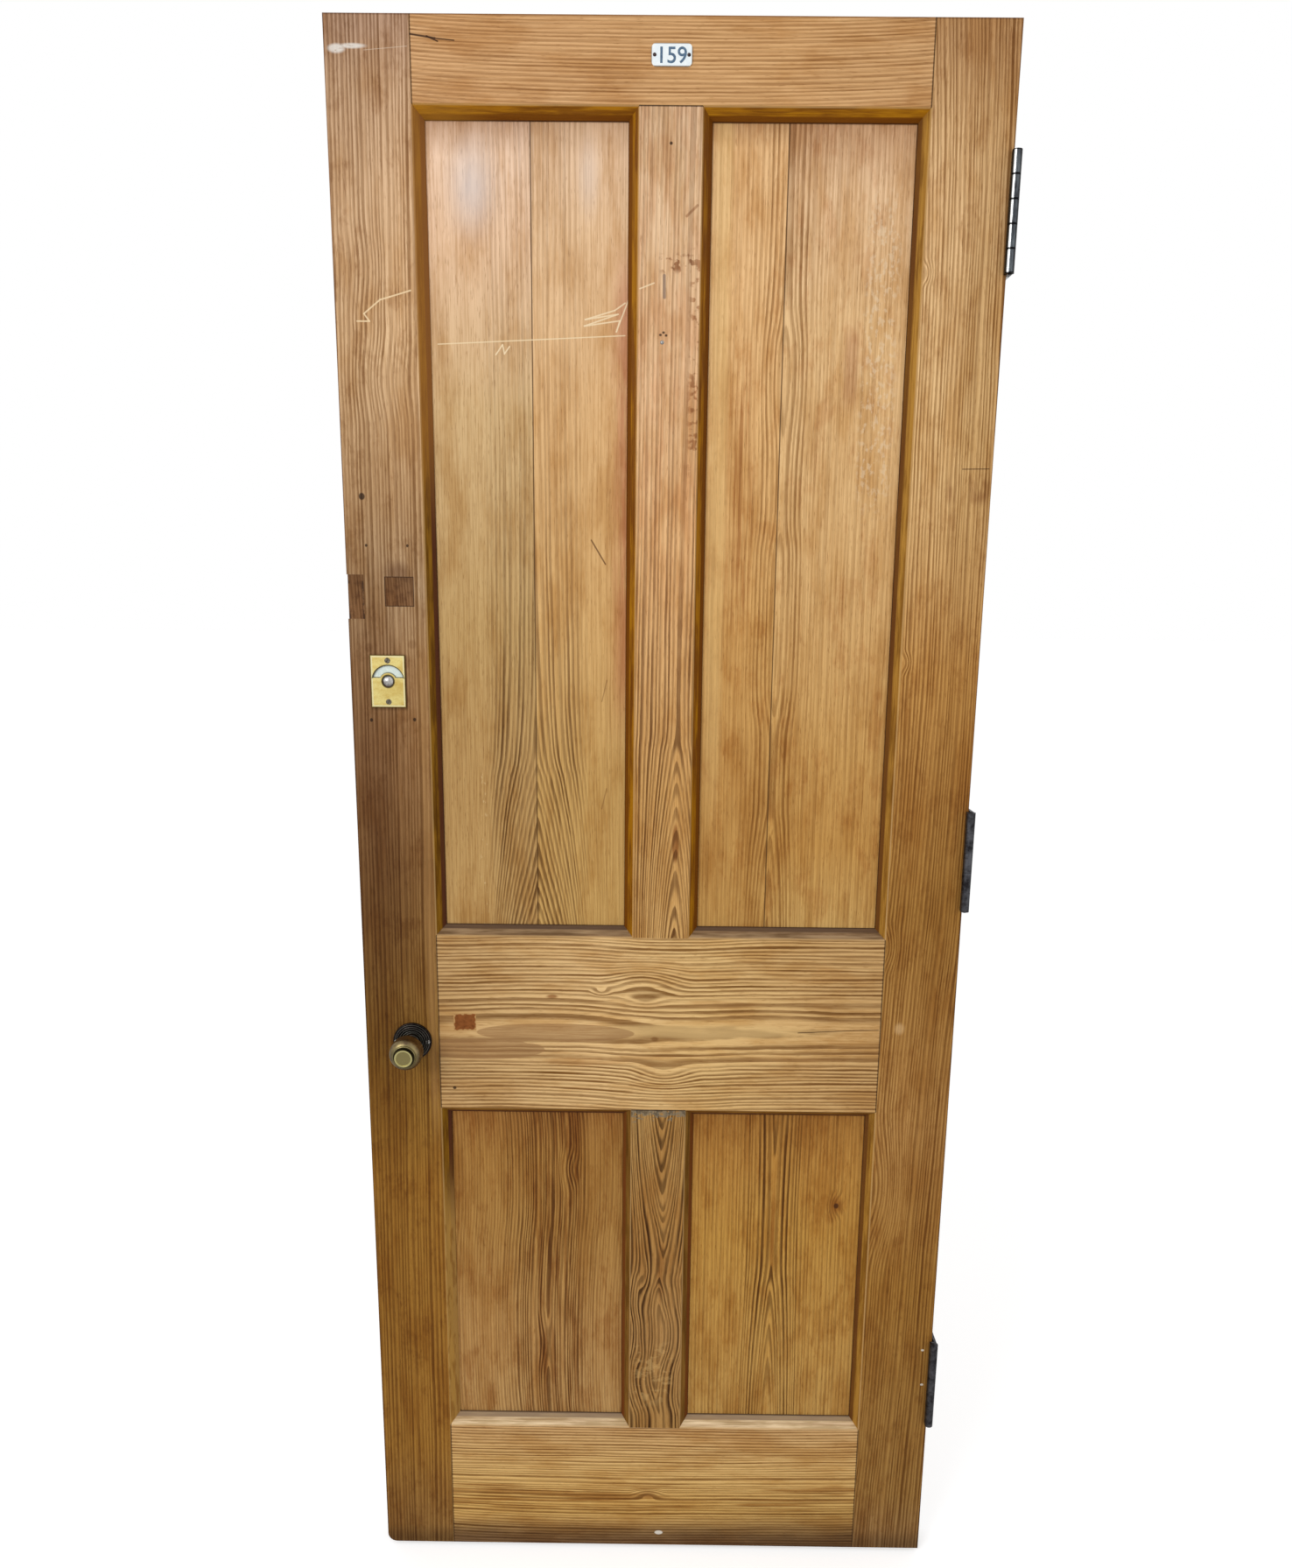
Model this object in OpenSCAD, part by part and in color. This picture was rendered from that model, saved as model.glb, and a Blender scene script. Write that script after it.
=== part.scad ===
// Four-panel solid wood interior door, with its three butt hinges, a knob on a rim latch
// and a vacant-or-engaged indicator bolt.
// X runs across the door from the lock edge to the hinge edge, Y through its thickness with the
// front face at -Y, and Z up from its foot.

/* [Door leaf] */
// Width of the leaf
door_w = 762; // [700:1:860]
// Height of the leaf
door_h = 1956; // [1900:1:2100]
// Thickness of the leaf
door_t = 44; // [38:1:50]
// Radius that wear has given the foot of the lock stile
worn_corner_r = 13; // [4:1:20]

/* [Stiles, rails and muntins] */
// Width of each stile's flat face
stile_face = 94; // [88:1:110]
// Height of the top rail's flat face
top_rail_face = 88; // [80:1:120]
// Height of the lock rail's flat face
lock_rail_face = 236; // [190:1:260]
// Height of the lock rail's lower face line above the foot
lock_rail_z = 675; // [600:1:700]
// Height of the bottom rail's flat face
bottom_rail_face = 193; // [175:1:200]
// Width of each muntin's flat face
muntin_face = 70; // [60:1:90]
// Width of the splayed edge round each panel, on the face
bevel_w = 12; // [8:0.5:14]
// Depth of the square step between the splay and the panel
quirk = 1.5; // [0.8:0.1:2.5]

/* [Panels] */
// Thickness of the panels
panel_t = 12; // [9:0.5:14]
// Depth to which a panel enters its groove
panel_in = 9; // [6:0.5:9.5]
// Width of the board next to the lock stile, upper left panel
left_board = 117.5; // [80:0.5:150]
// Width of the board next to the hinge stile, upper right panel
right_board = 142; // [80:0.5:160]

/* [Tenons and wedges] */
// Thickness of the tenons
tenon_t = 14; // [13:0.5:16]
// Height of each through tenon
tenon_h = 68; // [55:1:70]
// Height of the lowest tenon above the foot
tenon_foot = 25; // [15:1:40]
// Depth of the haunch beside the tenons
haunch_d = 12; // [8:1:18]
// Width of the stub tenons on the muntins
stub_w = 50; // [40:1:56]
// Length of the stub tenons on the muntins
stub_l = 30; // [20:1:36]
// Thickness of a wedge at the edge of the door
wedge_t = 6; // [4:0.5:8]
// Thickness of a wedge at its inner end
wedge_tip = 0.8; // [0.5:0.1:1.5]
// Length of a wedge
wedge_l = 62; // [45:1:66]

/* [Hinges] */
// Length of each hinge
hinge_l = 127; // [100:1:150]
// Reach of a leaf from the pin's axis
hinge_reach = 38; // [32:1:42]
// Thickness of a leaf
leaf_t = 3; // [2.4:0.1:3.4]
// Gap between the two leaves when the door is shut
leaf_gap = 3; // [2:0.1:4]
// Radius of the barrel
barrel_r = 5.5; // [5:0.1:6.5]
// Radius of the pin
pin_r = 3; // [2.4:0.1:3.4]
// Height of the pin's rounded tips
pin_tip = 1.6; // [1:0.1:3]
// Clearance between the barrel and the front face of the door
barrel_clear = 0.5; // [0.3:0.1:2]
// Distance from the top of the door down to the centre of the top hinge
hinge_top_down = 195; // [190:1:256]
// Height of the centre of the middle hinge
hinge_middle_z = 1016; // [990:1:1100]
// Height of the centre of the bottom hinge
hinge_bottom_z = 272; // [270:1:400]
// Distance between the two outer screws of a leaf
hinge_screw_outer = 100; // [80:1:108]
// Distance between the two inner screws of a leaf
hinge_screw_inner = 44; // [30:1:52]
// Reach of the outer screws from the pin's axis
hinge_screw_far = 28; // [25:1:30]
// Reach of the inner screws from the pin's axis
hinge_screw_near = 16; // [14:1:18]
// Radius of a hinge screw's head
hinge_head_r = 4.2; // [3.6:0.1:4.6]
// Radius of a hinge screw's shank
hinge_shank_r = 2.2; // [1.8:0.1:2.6]
// Length of a hinge screw
hinge_screw_l = 30; // [20:1:38]
// Extra radius of the free screw holes in the frame leaves
frame_hole_ease = 0.25; // [0.2:0.05:0.4]

/* [Knob and rose] */
// Distance of the knob's axis from the lock edge
knob_backset = 60; // [56:0.5:64]
// Height of the knob's axis
knob_z = 768; // [762:1:820]
// Radius of the rose
rose_r = 25; // [24:0.5:29]
// Thickness of the rose at its rim
rose_t = 3.5; // [3:0.1:5]
// Radius of the rose's reeds
reed_r = 1.3; // [0.8:0.1:1.4]
// Distance of each rose screw from the knob's axis
rose_screw_at = 20.6; // [19:0.1:21]
// Radius of the knob's body
knob_r = 20.5; // [18:0.5:24]
// Radius of the knob's neck
neck_r = 9; // [8:0.1:9.5]
// Length of the outer knob's neck in front of the rose
outer_neck = 16; // [10:0.5:20]
// Length of the inner knob's neck beyond the latch
inner_neck = 8; // [7:0.5:14]
// Radius of the flat disc on the knob's end
end_disc_r = 11.4; // [9:0.1:12]
// Width across the flats of the square spindle
spindle_w = 8; // [7:0.5:9]

/* [Rim latch] */
// Height of the latch case
latch_case_h = 70; // [68:1:80]
// Depth of the latch case, off the back of the door
latch_case_d = 16; // [15:0.5:20]
// Distance from the knob's axis to the inner end of the latch case
latch_case_tail = 32; // [31:0.5:36]
// Thickness of the walls of both rim cases
case_wall = 1.5; // [1.2:0.1:2]
// Distance that the latch bolt stands out of its case
latch_throw = 11; // [9:0.5:11.5]
// Height of the latch bolt's head
latch_head_h = 18; // [12:1:24]
// Reach of each horn of the follower
horn_reach = 14.5; // [13.5:0.1:14.6]
// Width of each horn
horn_w = 6; // [5:0.5:6.5]

/* [Indicator bolt] */
// Distance of the indicator's axis from the lock edge
indicator_backset = 45.5; // [42:0.5:50]
// Height of the indicator's axis
indicator_z = 1233.5; // [1150:0.5:1270]
// Width of the brass plate
indicator_w = 42; // [41:0.5:46]
// Height of the brass plate
indicator_h = 63; // [60:0.5:70]
// Thickness of the brass plate
indicator_t = 2; // [1.5:0.1:3]
// Distance of each plate screw from the axis
indicator_screw_at = 25; // [24:0.5:26]
// Outer radius of the arched window
window_r = 19.3; // [17:0.1:19.5]
// Inner radius of the arched window
window_in_r = 10; // [9:0.1:12]
// Height of the window's sill above the axis
window_sill = 4.2; // [3:0.1:6]
// Overlap of the disc behind the window's edge
disc_lap = 0.8; // [0.5:0.1:1]
// Thickness of the disc
disc_t = 1; // [0.8:0.1:1.4]
// Radius of the slotted release in the middle of the plate
release_r = 6; // [5:0.1:6.5]
// Gap between the release and the plate
release_gap = 1.1; // [0.6:0.1:1.4]
// Width across the flats of the indicator's spindle
small_spindle_w = 4.2; // [3.6:0.1:4.4]
// Distance that the bolt shoots in half a turn
bolt_throw = 16; // [15.5:0.1:17]
// Number of teeth on the pinion
pinion_teeth = 10; // [9:1:11]
// Height of the bolt below its rack
bolt_h = 9; // [7:0.5:11]
// Depth of the bolt case, off the back of the door
bolt_case_d = 14; // [12:0.5:18]
// Distance from the axis to the inner end of the bolt case
bolt_case_tail = 30; // [28:0.5:34]
// Length of the snib from its axis
snib_l = 24; // [18:0.5:26]

/* [Number plate] */
// Width of the number plate
number_w = 44.5; // [40:0.5:60]
// Height of the number plate
number_h = 22.5; // [18:0.5:30]
// Thickness of the number plate
number_t = 1.6; // [1.2:0.1:3]
// Radius of the number plate's corners
number_corner = 5; // [3:0.5:8]
// Distance from the middle of the number plate down from the top of the door
number_down = 39; // [30:1:50]
// Distance of each number plate screw from the middle
number_screw_at = 18.8; // [16:0.1:19]

/* [Repairs] */
// Side of the square patch in the lock stile
patch_w = 35; // [25:1:38]
// Height of the middle of the square patch
patch_z = 1340.5; // [1300:0.5:1400]
// Distance of the square patch's outer side from the lock edge
patch_from_edge = 45; // [40:1:50]
// Width of the patch on the lock edge
edge_patch_w = 20; // [15:1:24]
// Height of the patch on the lock edge
edge_patch_h = 52; // [40:1:60]
// Height of the middle of the edge patch
edge_patch_z = 1334; // [1320:1:1350]
// Amount by which the edge patch stands back from the lock edge
edge_patch_shy = 1.2; // [0.5:0.1:2]
// Depth of the patches
patch_d = 6; // [4:0.5:8]
// Width of the filler in the lock rail
filler_w = 29; // [20:1:35]
// Height of the filler in the lock rail
filler_h = 23; // [15:1:30]
// Distance of the filler's middle from the lock rail's shoulder
filler_in = 34.5; // [20:0.5:60]
// Height of the filler's middle above the lock rail's lower face line
filler_up = 119.5; // [30:0.5:180]
// Distance from the top of the door down to the nail in the upper muntin
nail_down = 333; // [150:1:600]
// Distance of the nail to the left of the muntin's middle
nail_left = 7; // [0:0.5:25]

/* [Clearances] */
// Radial clearance of a turning fit
run_fit = 0.06; // [0.03:0.01:0.09]
// Clearance on each side of a sliding part
slide_fit = 0.3; // [0.2:0.05:0.4]
// Clearance round a part let into the wood
let_in_fit = 0.05; // [0.02:0.01:0.1]

/* [Hidden] */
$fn = 64;

over = 1;                                    // how far a cutter runs past the face it opens
front = -door_t / 2;
back = door_t / 2;
lock_edge = -door_w / 2;
hinge_edge = door_w / 2;
face_x = door_w / 2 - stile_face;            // where the stiles' flat faces end
lock_rail_top = lock_rail_z + lock_rail_face;
top_rail_z = door_h - top_rail_face;
muntin_x = muntin_face / 2;
bevel_d = (door_t - panel_t) / 2 - quirk;
groove_play = 2;                             // room left in a groove for the panel to swell
groove_fit = 0.15;                           // clearance on each side of a panel in its groove
groove_half = panel_t / 2 + groove_fit;

// Face lines round each opening, as [left, right, low, high]
UPPER_LEFT = [-face_x, -muntin_x, lock_rail_top, top_rail_z];
UPPER_RIGHT = [muntin_x, face_x, lock_rail_top, top_rail_z];
LOWER_LEFT = [-face_x, -muntin_x, bottom_rail_face, lock_rail_z];
LOWER_RIGHT = [muntin_x, face_x, bottom_rail_face, lock_rail_z];

// Height range of each through tenon
TOP_TENONS = [[top_rail_z, top_rail_z + tenon_h]];
LOCK_TENONS = [[lock_rail_z, lock_rail_z + tenon_h], [lock_rail_top - tenon_h, lock_rail_top]];
BOTTOM_TENONS = [
    [tenon_foot, tenon_foot + tenon_h],
    [bottom_rail_face - tenon_h, bottom_rail_face]
];
ALL_TENONS = concat(TOP_TENONS, LOCK_TENONS, BOTTOM_TENONS);

hinge_top_z = door_h - hinge_top_down;
hinge_x = hinge_edge + leaf_gap / 2;
hinge_y = front - barrel_clear - barrel_r;
knuckle_gap = 0.3;
knuckle_relief = 0.4;
knuckles = 5;
knuckle_l = hinge_l / knuckles;

lock_x = lock_edge + knob_backset;
latch_tail_x = lock_x + latch_case_tail;
latch_face_y = back + latch_case_d;
hub_r = neck_r;
collar_h = 3;                                // the follower's hub ends in a raised collar
collar_wall = 4;
hub_end_y = latch_face_y + collar_h;
collar_r = hub_r + collar_wall;
yoke_half = 17;                              // half the height of the window in the bolt's tail
yoke_rim = 4;
lug_foot = 10.5;                             // where the lugs that the horns push begin
yoke_t = 4;
yoke_step = 1;                                // how far shank, horns, ribs and spring pass the yoke's faces
post_r = 5;
post_in = 7;

indicator_x = lock_edge + indicator_backset;
disc_r = window_r + disc_lap;
disc_back = 0.4;                             // how far the disc lies behind the face
disc_y = front + disc_back;
bolt_tail_x = indicator_x + bolt_case_tail;
bolt_face_y = back + bolt_case_d;
pitch_r = bolt_throw / PI;                   // half a turn moves the rack by its throw
tooth_module = 2 * pitch_r / pinion_teeth;
tooth_pitch = PI * tooth_module;
pressure = 25;
addendum = 0.8 * tooth_module;
dedendum = 1.05 * tooth_module;
base_r = pitch_r * cos(pressure);
tooth_tip_r = pitch_r + addendum;
tooth_root_r = pitch_r - dedendum;
journal_wall = 1.4;
journal_r = min(small_spindle_w * 0.75 + journal_wall, tooth_root_r);
tooth_play = 0.2;
rack_top = -pitch_r + addendum;              // heights here are from the indicator's axis
rack_root = -pitch_r - dedendum;
bolt_low = rack_root - bolt_h;
bolt_case_room = 3;
bolt_case_top = tooth_tip_r + bolt_case_room;
bolt_case_low = bolt_low - slide_fit - case_wall;
ear_h = 9;                                   // height of the backplate's ears past the case
bolt_y0 = back + case_wall + slide_fit;
bolt_y1 = bolt_face_y - case_wall - slide_fit;
bolt_end_gap = 4;                            // room behind the bolt, inside its case
bolt_shy = 0.5;                              // how far the drawn bolt stands back from the lock edge

number_z = door_h - number_down;
nail_z = door_h - nail_down;
filler_x = -face_x + filler_in;
filler_z = lock_rail_z + filler_up;

wood = "#b4813f";
pale_wood = "#cda26c";
dark_wood = "#8a5a2c";
brass = "#d3b25c";
old_brass = "#8c7a45";
dark_metal = "#2b2622";
bright_steel = "#b9bcc0";
case_iron = "#3a3532";

// An outline in X and Z, made solid from one Y to another
module through(y0, y1) {
    translate([0, y1, 0]) rotate([90, 0, 0]) linear_extrude(y1 - y0) children();
}

// An outline in X and Y, made solid from one height to another
module upright(z0, z1) {
    translate([0, 0, z0]) linear_extrude(z1 - z0) children();
}

// An outline in Y and Z, made solid from one X to another
module across(x0, x1) {
    translate([x0, 0, 0]) rotate([90, 0, 90]) linear_extrude(x1 - x0) children();
}

// A box between two corners
module block(low, high) {
    translate(low) cube(high - low);
}

// The strip that stands past a vertical face line, mitred at both ends and rooted in its member
module stuck_upright(x, side, z0, z1) {
    polygon([
        [x - side * over, z0], [x, z0], [x + side * bevel_w, z0 + bevel_w],
        [x + side * bevel_w, z1 - bevel_w], [x, z1], [x - side * over, z1]
    ]);
}

// The strip that stands past a level face line, mitred at both ends and rooted in its member
module stuck_level(z, side, x0, x1) {
    polygon([
        [x0, z - side * over], [x0, z], [x0 + bevel_w, z + side * bevel_w],
        [x1 - bevel_w, z + side * bevel_w], [x1, z], [x1, z - side * over]
    ]);
}

// The splayed recess round one opening, in the front face: two wedges crossed, so that the
// corners meet in true mitres
module splay_front(opening) {
    grow = over * bevel_w / bevel_d;
    x0 = opening[0];
    x1 = opening[1];
    z0 = opening[2];
    z1 = opening[3];
    deep = front + bevel_d + over;
    inner = bevel_w + grow;
    intersection() {
        upright(z0 - grow, z1 + grow) polygon([
            [x0 - grow, front - over], [x1 + grow, front - over],
            [x1 - inner, deep], [x0 + inner, deep]
        ]);
        across(x0 - grow, x1 + grow) polygon([
            [front - over, z0 - grow], [front - over, z1 + grow],
            [deep, z1 - inner], [deep, z0 + inner]
        ]);
    }
}

// The groove that holds a panel
module groove(opening) {
    edge = panel_in + groove_play - bevel_w;
    block(
        [opening[0] - edge, -groove_half, opening[2] - edge],
        [opening[1] + edge, groove_half, opening[3] + edge]
    );
}

// Everything that the joiner's planes take off round one opening
module worked_edges(opening) {
    splay_front(opening);
    mirror([0, 1, 0]) splay_front(opening);
    groove(opening);
}

// Countersunk wood screw with its head flush at z = 0 and its point down
module wood_screw(head_r, shank_r, length, turn = 0) {
    slot_w = head_r * 0.28;
    difference() {
        rotate_extrude() polygon([
            [0, 0], [head_r, 0], [shank_r, shank_r - head_r],
            [shank_r, 3 * shank_r - length], [0, -length]
        ]);
        rotate([0, 0, turn]) translate([-head_r - over, -slot_w / 2, -head_r * 0.3])
            cube([2 * (head_r + over), slot_w, head_r]);
    }
}

// Round-headed wood screw, the underside of its head at z = 0
module round_screw(head_r, shank_r, length, turn = 0) {
    slot_w = head_r * 0.28;
    difference() {
        rotate_extrude() union() {
            intersection() {
                translate([0, -head_r * 0.35]) circle(head_r * 1.06);
                square([head_r * 0.999, head_r]);
            }
            polygon([[0, shank_r / 4], [shank_r, shank_r / 4], [shank_r, 2 * shank_r - length], [0, -length]]);
        }
        rotate([0, 0, turn]) translate([-head_r - over, -slot_w / 2, head_r * 0.42])
            cube([2 * (head_r + over), slot_w, head_r]);
    }
}

// Room for a countersunk screw
module screw_seat(head_r, shank_r, length) {
    fit_head = head_r + let_in_fit;
    fit_shank = shank_r + let_in_fit;
    rotate_extrude() polygon([
        [0, over], [fit_head, over], [fit_head, 0], [fit_shank, shank_r - head_r],
        [fit_shank, -length - over], [0, -length - over]
    ]);
}

// Turns a screw so that it drives into the front, the back or the hinge edge
module into_front(x, z, y = front) {
    translate([x, y, z]) rotate([90, 0, 0]) children();
}
module into_back(x, z, y = back) {
    translate([x, y, z]) rotate([-90, 0, 0]) children();
}
module into_hinge_edge(y, z) {
    translate([hinge_edge, y, z]) rotate([0, 90, 0]) children();
}

// Lock stile, with its mortices, splayed edges, grooves and the beds of its fittings
module stile_lock() {
    color(wood) difference() {
        through(front, back) difference() {
            union() {
                translate([lock_edge, 0]) square([stile_face, door_h]);
                stuck_upright(-face_x, 1, lock_rail_top, top_rail_z);
                stuck_upright(-face_x, 1, bottom_rail_face, lock_rail_z);
            }
            worn_foot();
        }
        worked_edges(UPPER_LEFT);
        worked_edges(LOWER_LEFT);
        mortices();
        patch_beds();
        into_front(lock_x, knob_z, front - over)
            translate([0, 0, -door_t - 2 * over]) cylinder(r = neck_r, h = door_t + 2 * over);
        rose_screw_places() screw_seat(rose_head_r, rose_shank_r, rose_screw_l);
        into_front(indicator_x, indicator_z) disc_bed();
        indicator_screw_places() screw_seat(plate_head_r, plate_shank_r, plate_screw_l);
        latch_screw_places() screw_seat(case_head_r, case_shank_r, latch_screw_l);
        bolt_screw_places() screw_seat(case_head_r, case_shank_r, bolt_screw_l);
    }
}

module worn_foot() {
    difference() {
        translate([lock_edge - over, -over]) square(worn_corner_r + over);
        translate([lock_edge + worn_corner_r, worn_corner_r]) circle(worn_corner_r);
    }
}

// Hinge stile, with a bed for each hinge leaf
module stile_hinge() {
    color(wood) difference() {
        union() {
            through(front, back) translate([face_x, 0]) square([stile_face, door_h]);
            through(front, back) stuck_upright(face_x, -1, lock_rail_top, top_rail_z);
            through(front, back) stuck_upright(face_x, -1, bottom_rail_face, lock_rail_z);
        }
        worked_edges(UPPER_RIGHT);
        worked_edges(LOWER_RIGHT);
        mirror([1, 0, 0]) mortices();
        for (z = [hinge_top_z, hinge_middle_z, hinge_bottom_z]) {
            hinge_bed(z);
            hinge_screw_places(z) screw_seat(hinge_head_r, hinge_shank_r, hinge_screw_l);
        }
    }
}

// The mortices, haunch slots and wedge tapers of the lock stile
module mortices() {
    wedge_in = lock_edge + wedge_l;
    flare = wedge_t + (wedge_t - wedge_tip) / wedge_l * over;
    through(-tenon_t / 2, tenon_t / 2) for (t = ALL_TENONS) {
        polygon([
            [-face_x + over, t[0]], [wedge_in, t[0]], [wedge_in, t[0] - wedge_tip],
            [lock_edge - over, t[0] - flare], [lock_edge - over, t[1] + flare],
            [wedge_in, t[1] + wedge_tip], [wedge_in, t[1]], [-face_x + over, t[1]]
        ]);
    }
    for (z = [[-over, bottom_rail_face], [lock_rail_z, lock_rail_top], [top_rail_z, door_h + over]])
        block([-face_x - haunch_d, -tenon_t / 2, z[0]], [-face_x + over, tenon_t / 2, z[1]]);
}

// The tenons of a rail, and the haunch between them
module tenons(heights, z0, z1) {
    for (t = heights)
        block([lock_edge, -tenon_t / 2, t[0]], [hinge_edge, tenon_t / 2, t[1]]);
    block([-face_x - haunch_d, -tenon_t / 2, z0], [face_x + haunch_d, tenon_t / 2, z1]);
}

// Mortice for a muntin's stub tenon, upward or downward from a face line
module stub_mortice(z, side) {
    z1 = z + side * (stub_l + over);
    block(
        [-stub_w / 2, -tenon_t / 2, min(z, z1)],
        [stub_w / 2, tenon_t / 2, max(z, z1)]
    );
}

module rail_top() {
    color(wood) difference() {
        union() {
            through(front, back) union() {
                translate([-face_x, top_rail_z]) square([2 * face_x, top_rail_face]);
                stuck_level(top_rail_z, -1, -face_x, -muntin_x);
                stuck_level(top_rail_z, -1, muntin_x, face_x);
            }
            tenons(TOP_TENONS, top_rail_z, door_h);
        }
        worked_edges(UPPER_LEFT);
        worked_edges(UPPER_RIGHT);
        stub_mortice(top_rail_z, 1);
        number_screw_places() screw_seat(number_shank_r, number_shank_r, number_screw_l);
    }
}

module rail_lock() {
    color(wood) difference() {
        union() {
            through(front, back) union() {
                translate([-face_x, lock_rail_z]) square([2 * face_x, lock_rail_face]);
                stuck_level(lock_rail_top, 1, -face_x, -muntin_x);
                stuck_level(lock_rail_top, 1, muntin_x, face_x);
                stuck_level(lock_rail_z, -1, -face_x, -muntin_x);
                stuck_level(lock_rail_z, -1, muntin_x, face_x);
            }
            tenons(LOCK_TENONS, lock_rail_z, lock_rail_top);
        }
        worked_edges(UPPER_LEFT);
        worked_edges(UPPER_RIGHT);
        worked_edges(LOWER_LEFT);
        worked_edges(LOWER_RIGHT);
        stub_mortice(lock_rail_top, -1);
        stub_mortice(lock_rail_z, 1);
        filler_shape(let_in_fit);
    }
}

module rail_bottom() {
    color(wood) difference() {
        union() {
            through(front, back) union() {
                translate([-face_x, 0]) square([2 * face_x, bottom_rail_face]);
                stuck_level(bottom_rail_face, 1, -face_x, -muntin_x);
                stuck_level(bottom_rail_face, 1, muntin_x, face_x);
            }
            tenons(BOTTOM_TENONS, 0, bottom_rail_face);
        }
        worked_edges(LOWER_LEFT);
        worked_edges(LOWER_RIGHT);
        stub_mortice(bottom_rail_face, -1);
    }
}

// A muntin between two face lines, splayed on both sides, with a stub tenon at each end
module muntin(z0, z1, left, right) {
    difference() {
        union() {
            through(front, back) union() {
                translate([-muntin_x, z0]) square([muntin_face, z1 - z0]);
                stuck_upright(-muntin_x, -1, z0, z1);
                stuck_upright(muntin_x, 1, z0, z1);
            }
            block([-stub_w / 2, -tenon_t / 2, z0 - stub_l], [stub_w / 2, tenon_t / 2, z1 + stub_l]);
        }
        worked_edges(left);
        worked_edges(right);
    }
}

module muntin_upper() {
    color(wood) difference() {
        muntin(lock_rail_top, top_rail_z, UPPER_LEFT, UPPER_RIGHT);
        into_front(-nail_left, nail_z) screw_seat(nail_r, nail_r, nail_l);
    }
}

module muntin_lower() {
    color(wood) muntin(bottom_rail_face, lock_rail_z, LOWER_LEFT, LOWER_RIGHT);
}

// A pair of wedges, above and below each tenon, in both edges of the door
module tenon_wedges() {
    color(dark_wood) for (side = [0, 1]) mirror([side, 0, 0])
        through(-tenon_t / 2, tenon_t / 2) for (t = ALL_TENONS) {
            tenon_wedge(t[1], 1);
            tenon_wedge(t[0], -1);
        }
}

module tenon_wedge(z, side) {
    polygon([
        [lock_edge, z], [lock_edge + wedge_l, z],
        [lock_edge + wedge_l, z + side * wedge_tip], [lock_edge, z + side * wedge_t]
    ]);
}

// A panel board, from one X to another, as tall as its opening and the grooves allow
module board(opening, x0, x1) {
    tongue = panel_in - bevel_w;
    block([x0, -panel_t / 2, opening[2] - tongue], [x1, panel_t / 2, opening[3] + tongue]);
}

function panel_left(opening) = opening[0] + bevel_w - panel_in;
function panel_right(opening) = opening[1] - bevel_w + panel_in;
left_joint_x = -face_x + bevel_w + left_board;
right_joint_x = face_x - bevel_w - right_board;

module panel_upper_left_outer() {
    color(pale_wood) board(UPPER_LEFT, panel_left(UPPER_LEFT), left_joint_x);
}
module panel_upper_left_inner() {
    color(pale_wood) board(UPPER_LEFT, left_joint_x, panel_right(UPPER_LEFT));
}
module panel_upper_right_inner() {
    color(pale_wood) board(UPPER_RIGHT, panel_left(UPPER_RIGHT), right_joint_x);
}
module panel_upper_right_outer() {
    color(pale_wood) board(UPPER_RIGHT, right_joint_x, panel_right(UPPER_RIGHT));
}
module panel_lower_left() {
    color(pale_wood) board(LOWER_LEFT, panel_left(LOWER_LEFT), panel_right(LOWER_LEFT));
}
module panel_lower_right() {
    color(pale_wood) board(LOWER_RIGHT, panel_left(LOWER_RIGHT), panel_right(LOWER_RIGHT));
}

// Patches let into the face, and filler in the lock rail
module patch_shape(grow) {
    x0 = lock_edge + patch_from_edge;
    block(
        [x0 - grow, front - (grow > 0 ? over : 0), patch_z - patch_w / 2 - grow],
        [x0 + patch_w + grow, front + patch_d, patch_z + patch_w / 2 + grow]
    );
}

module edge_patch_shape(shy, grow) {
    past = grow > 0 ? over : 0;
    block(
        [lock_edge + shy - past, front - past, edge_patch_z - edge_patch_h / 2 - grow],
        [lock_edge + edge_patch_w + grow, front + patch_d, edge_patch_z + edge_patch_h / 2 + grow]
    );
}

module filler_shape(grow) {
    y0 = front - (grow > 0 ? over : 0);
    translate([filler_x, 0, filler_z]) block(
        [-filler_w / 2 - grow, y0, -filler_h / 2 - grow],
        [filler_w / 2 + grow, front + patch_d / 2, filler_h / 2 + grow]
    );
}

module patch_beds() {
    patch_shape(let_in_fit);
    edge_patch_shape(0, let_in_fit);
}

module patch_stile() {
    color(dark_wood) patch_shape(0);
}
module patch_edge() {
    color(dark_wood) edge_patch_shape(edge_patch_shy, 0);
}
module filler_lock_rail() {
    color("#9b4a2a") filler_shape(0);
}

// Enamelled number plate and its two round-headed screws
number_head_r = 2;
number_shank_r = 1.1;
number_screw_l = 12;

module number_screw_places() {
    for (side = [-1, 1]) into_front(side * number_screw_at, number_z) children();
}

module number_plate() {
    color("white") difference() {
        through(front - number_t, front) translate([0, number_z]) rounded(number_w, number_h, number_corner);
        number_screw_places() translate([0, 0, -over])
            cylinder(r = number_shank_r + slide_fit, h = number_t + 2 * over);
    }
}

// A rectangle with round corners, about the origin
module rounded(w, h, r) {
    union() {
        square([w - 2 * r, h], center = true);
        square([w, h - 2 * r], center = true);
        for (x = [-1, 1], z = [-1, 1]) translate([x * (w / 2 - r), z * (h / 2 - r)]) circle(r);
    }
}

module number_plate_screws() {
    color(brass) for (side = [-1, 1])
        into_front(side * number_screw_at, number_z, front - number_t)
            round_screw(number_head_r, number_shank_r, number_screw_l, 40 * side);
}

// A round-headed nail left in the upper muntin
nail_r = 1;
nail_head_r = 2.4;
nail_l = 20;

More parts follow.
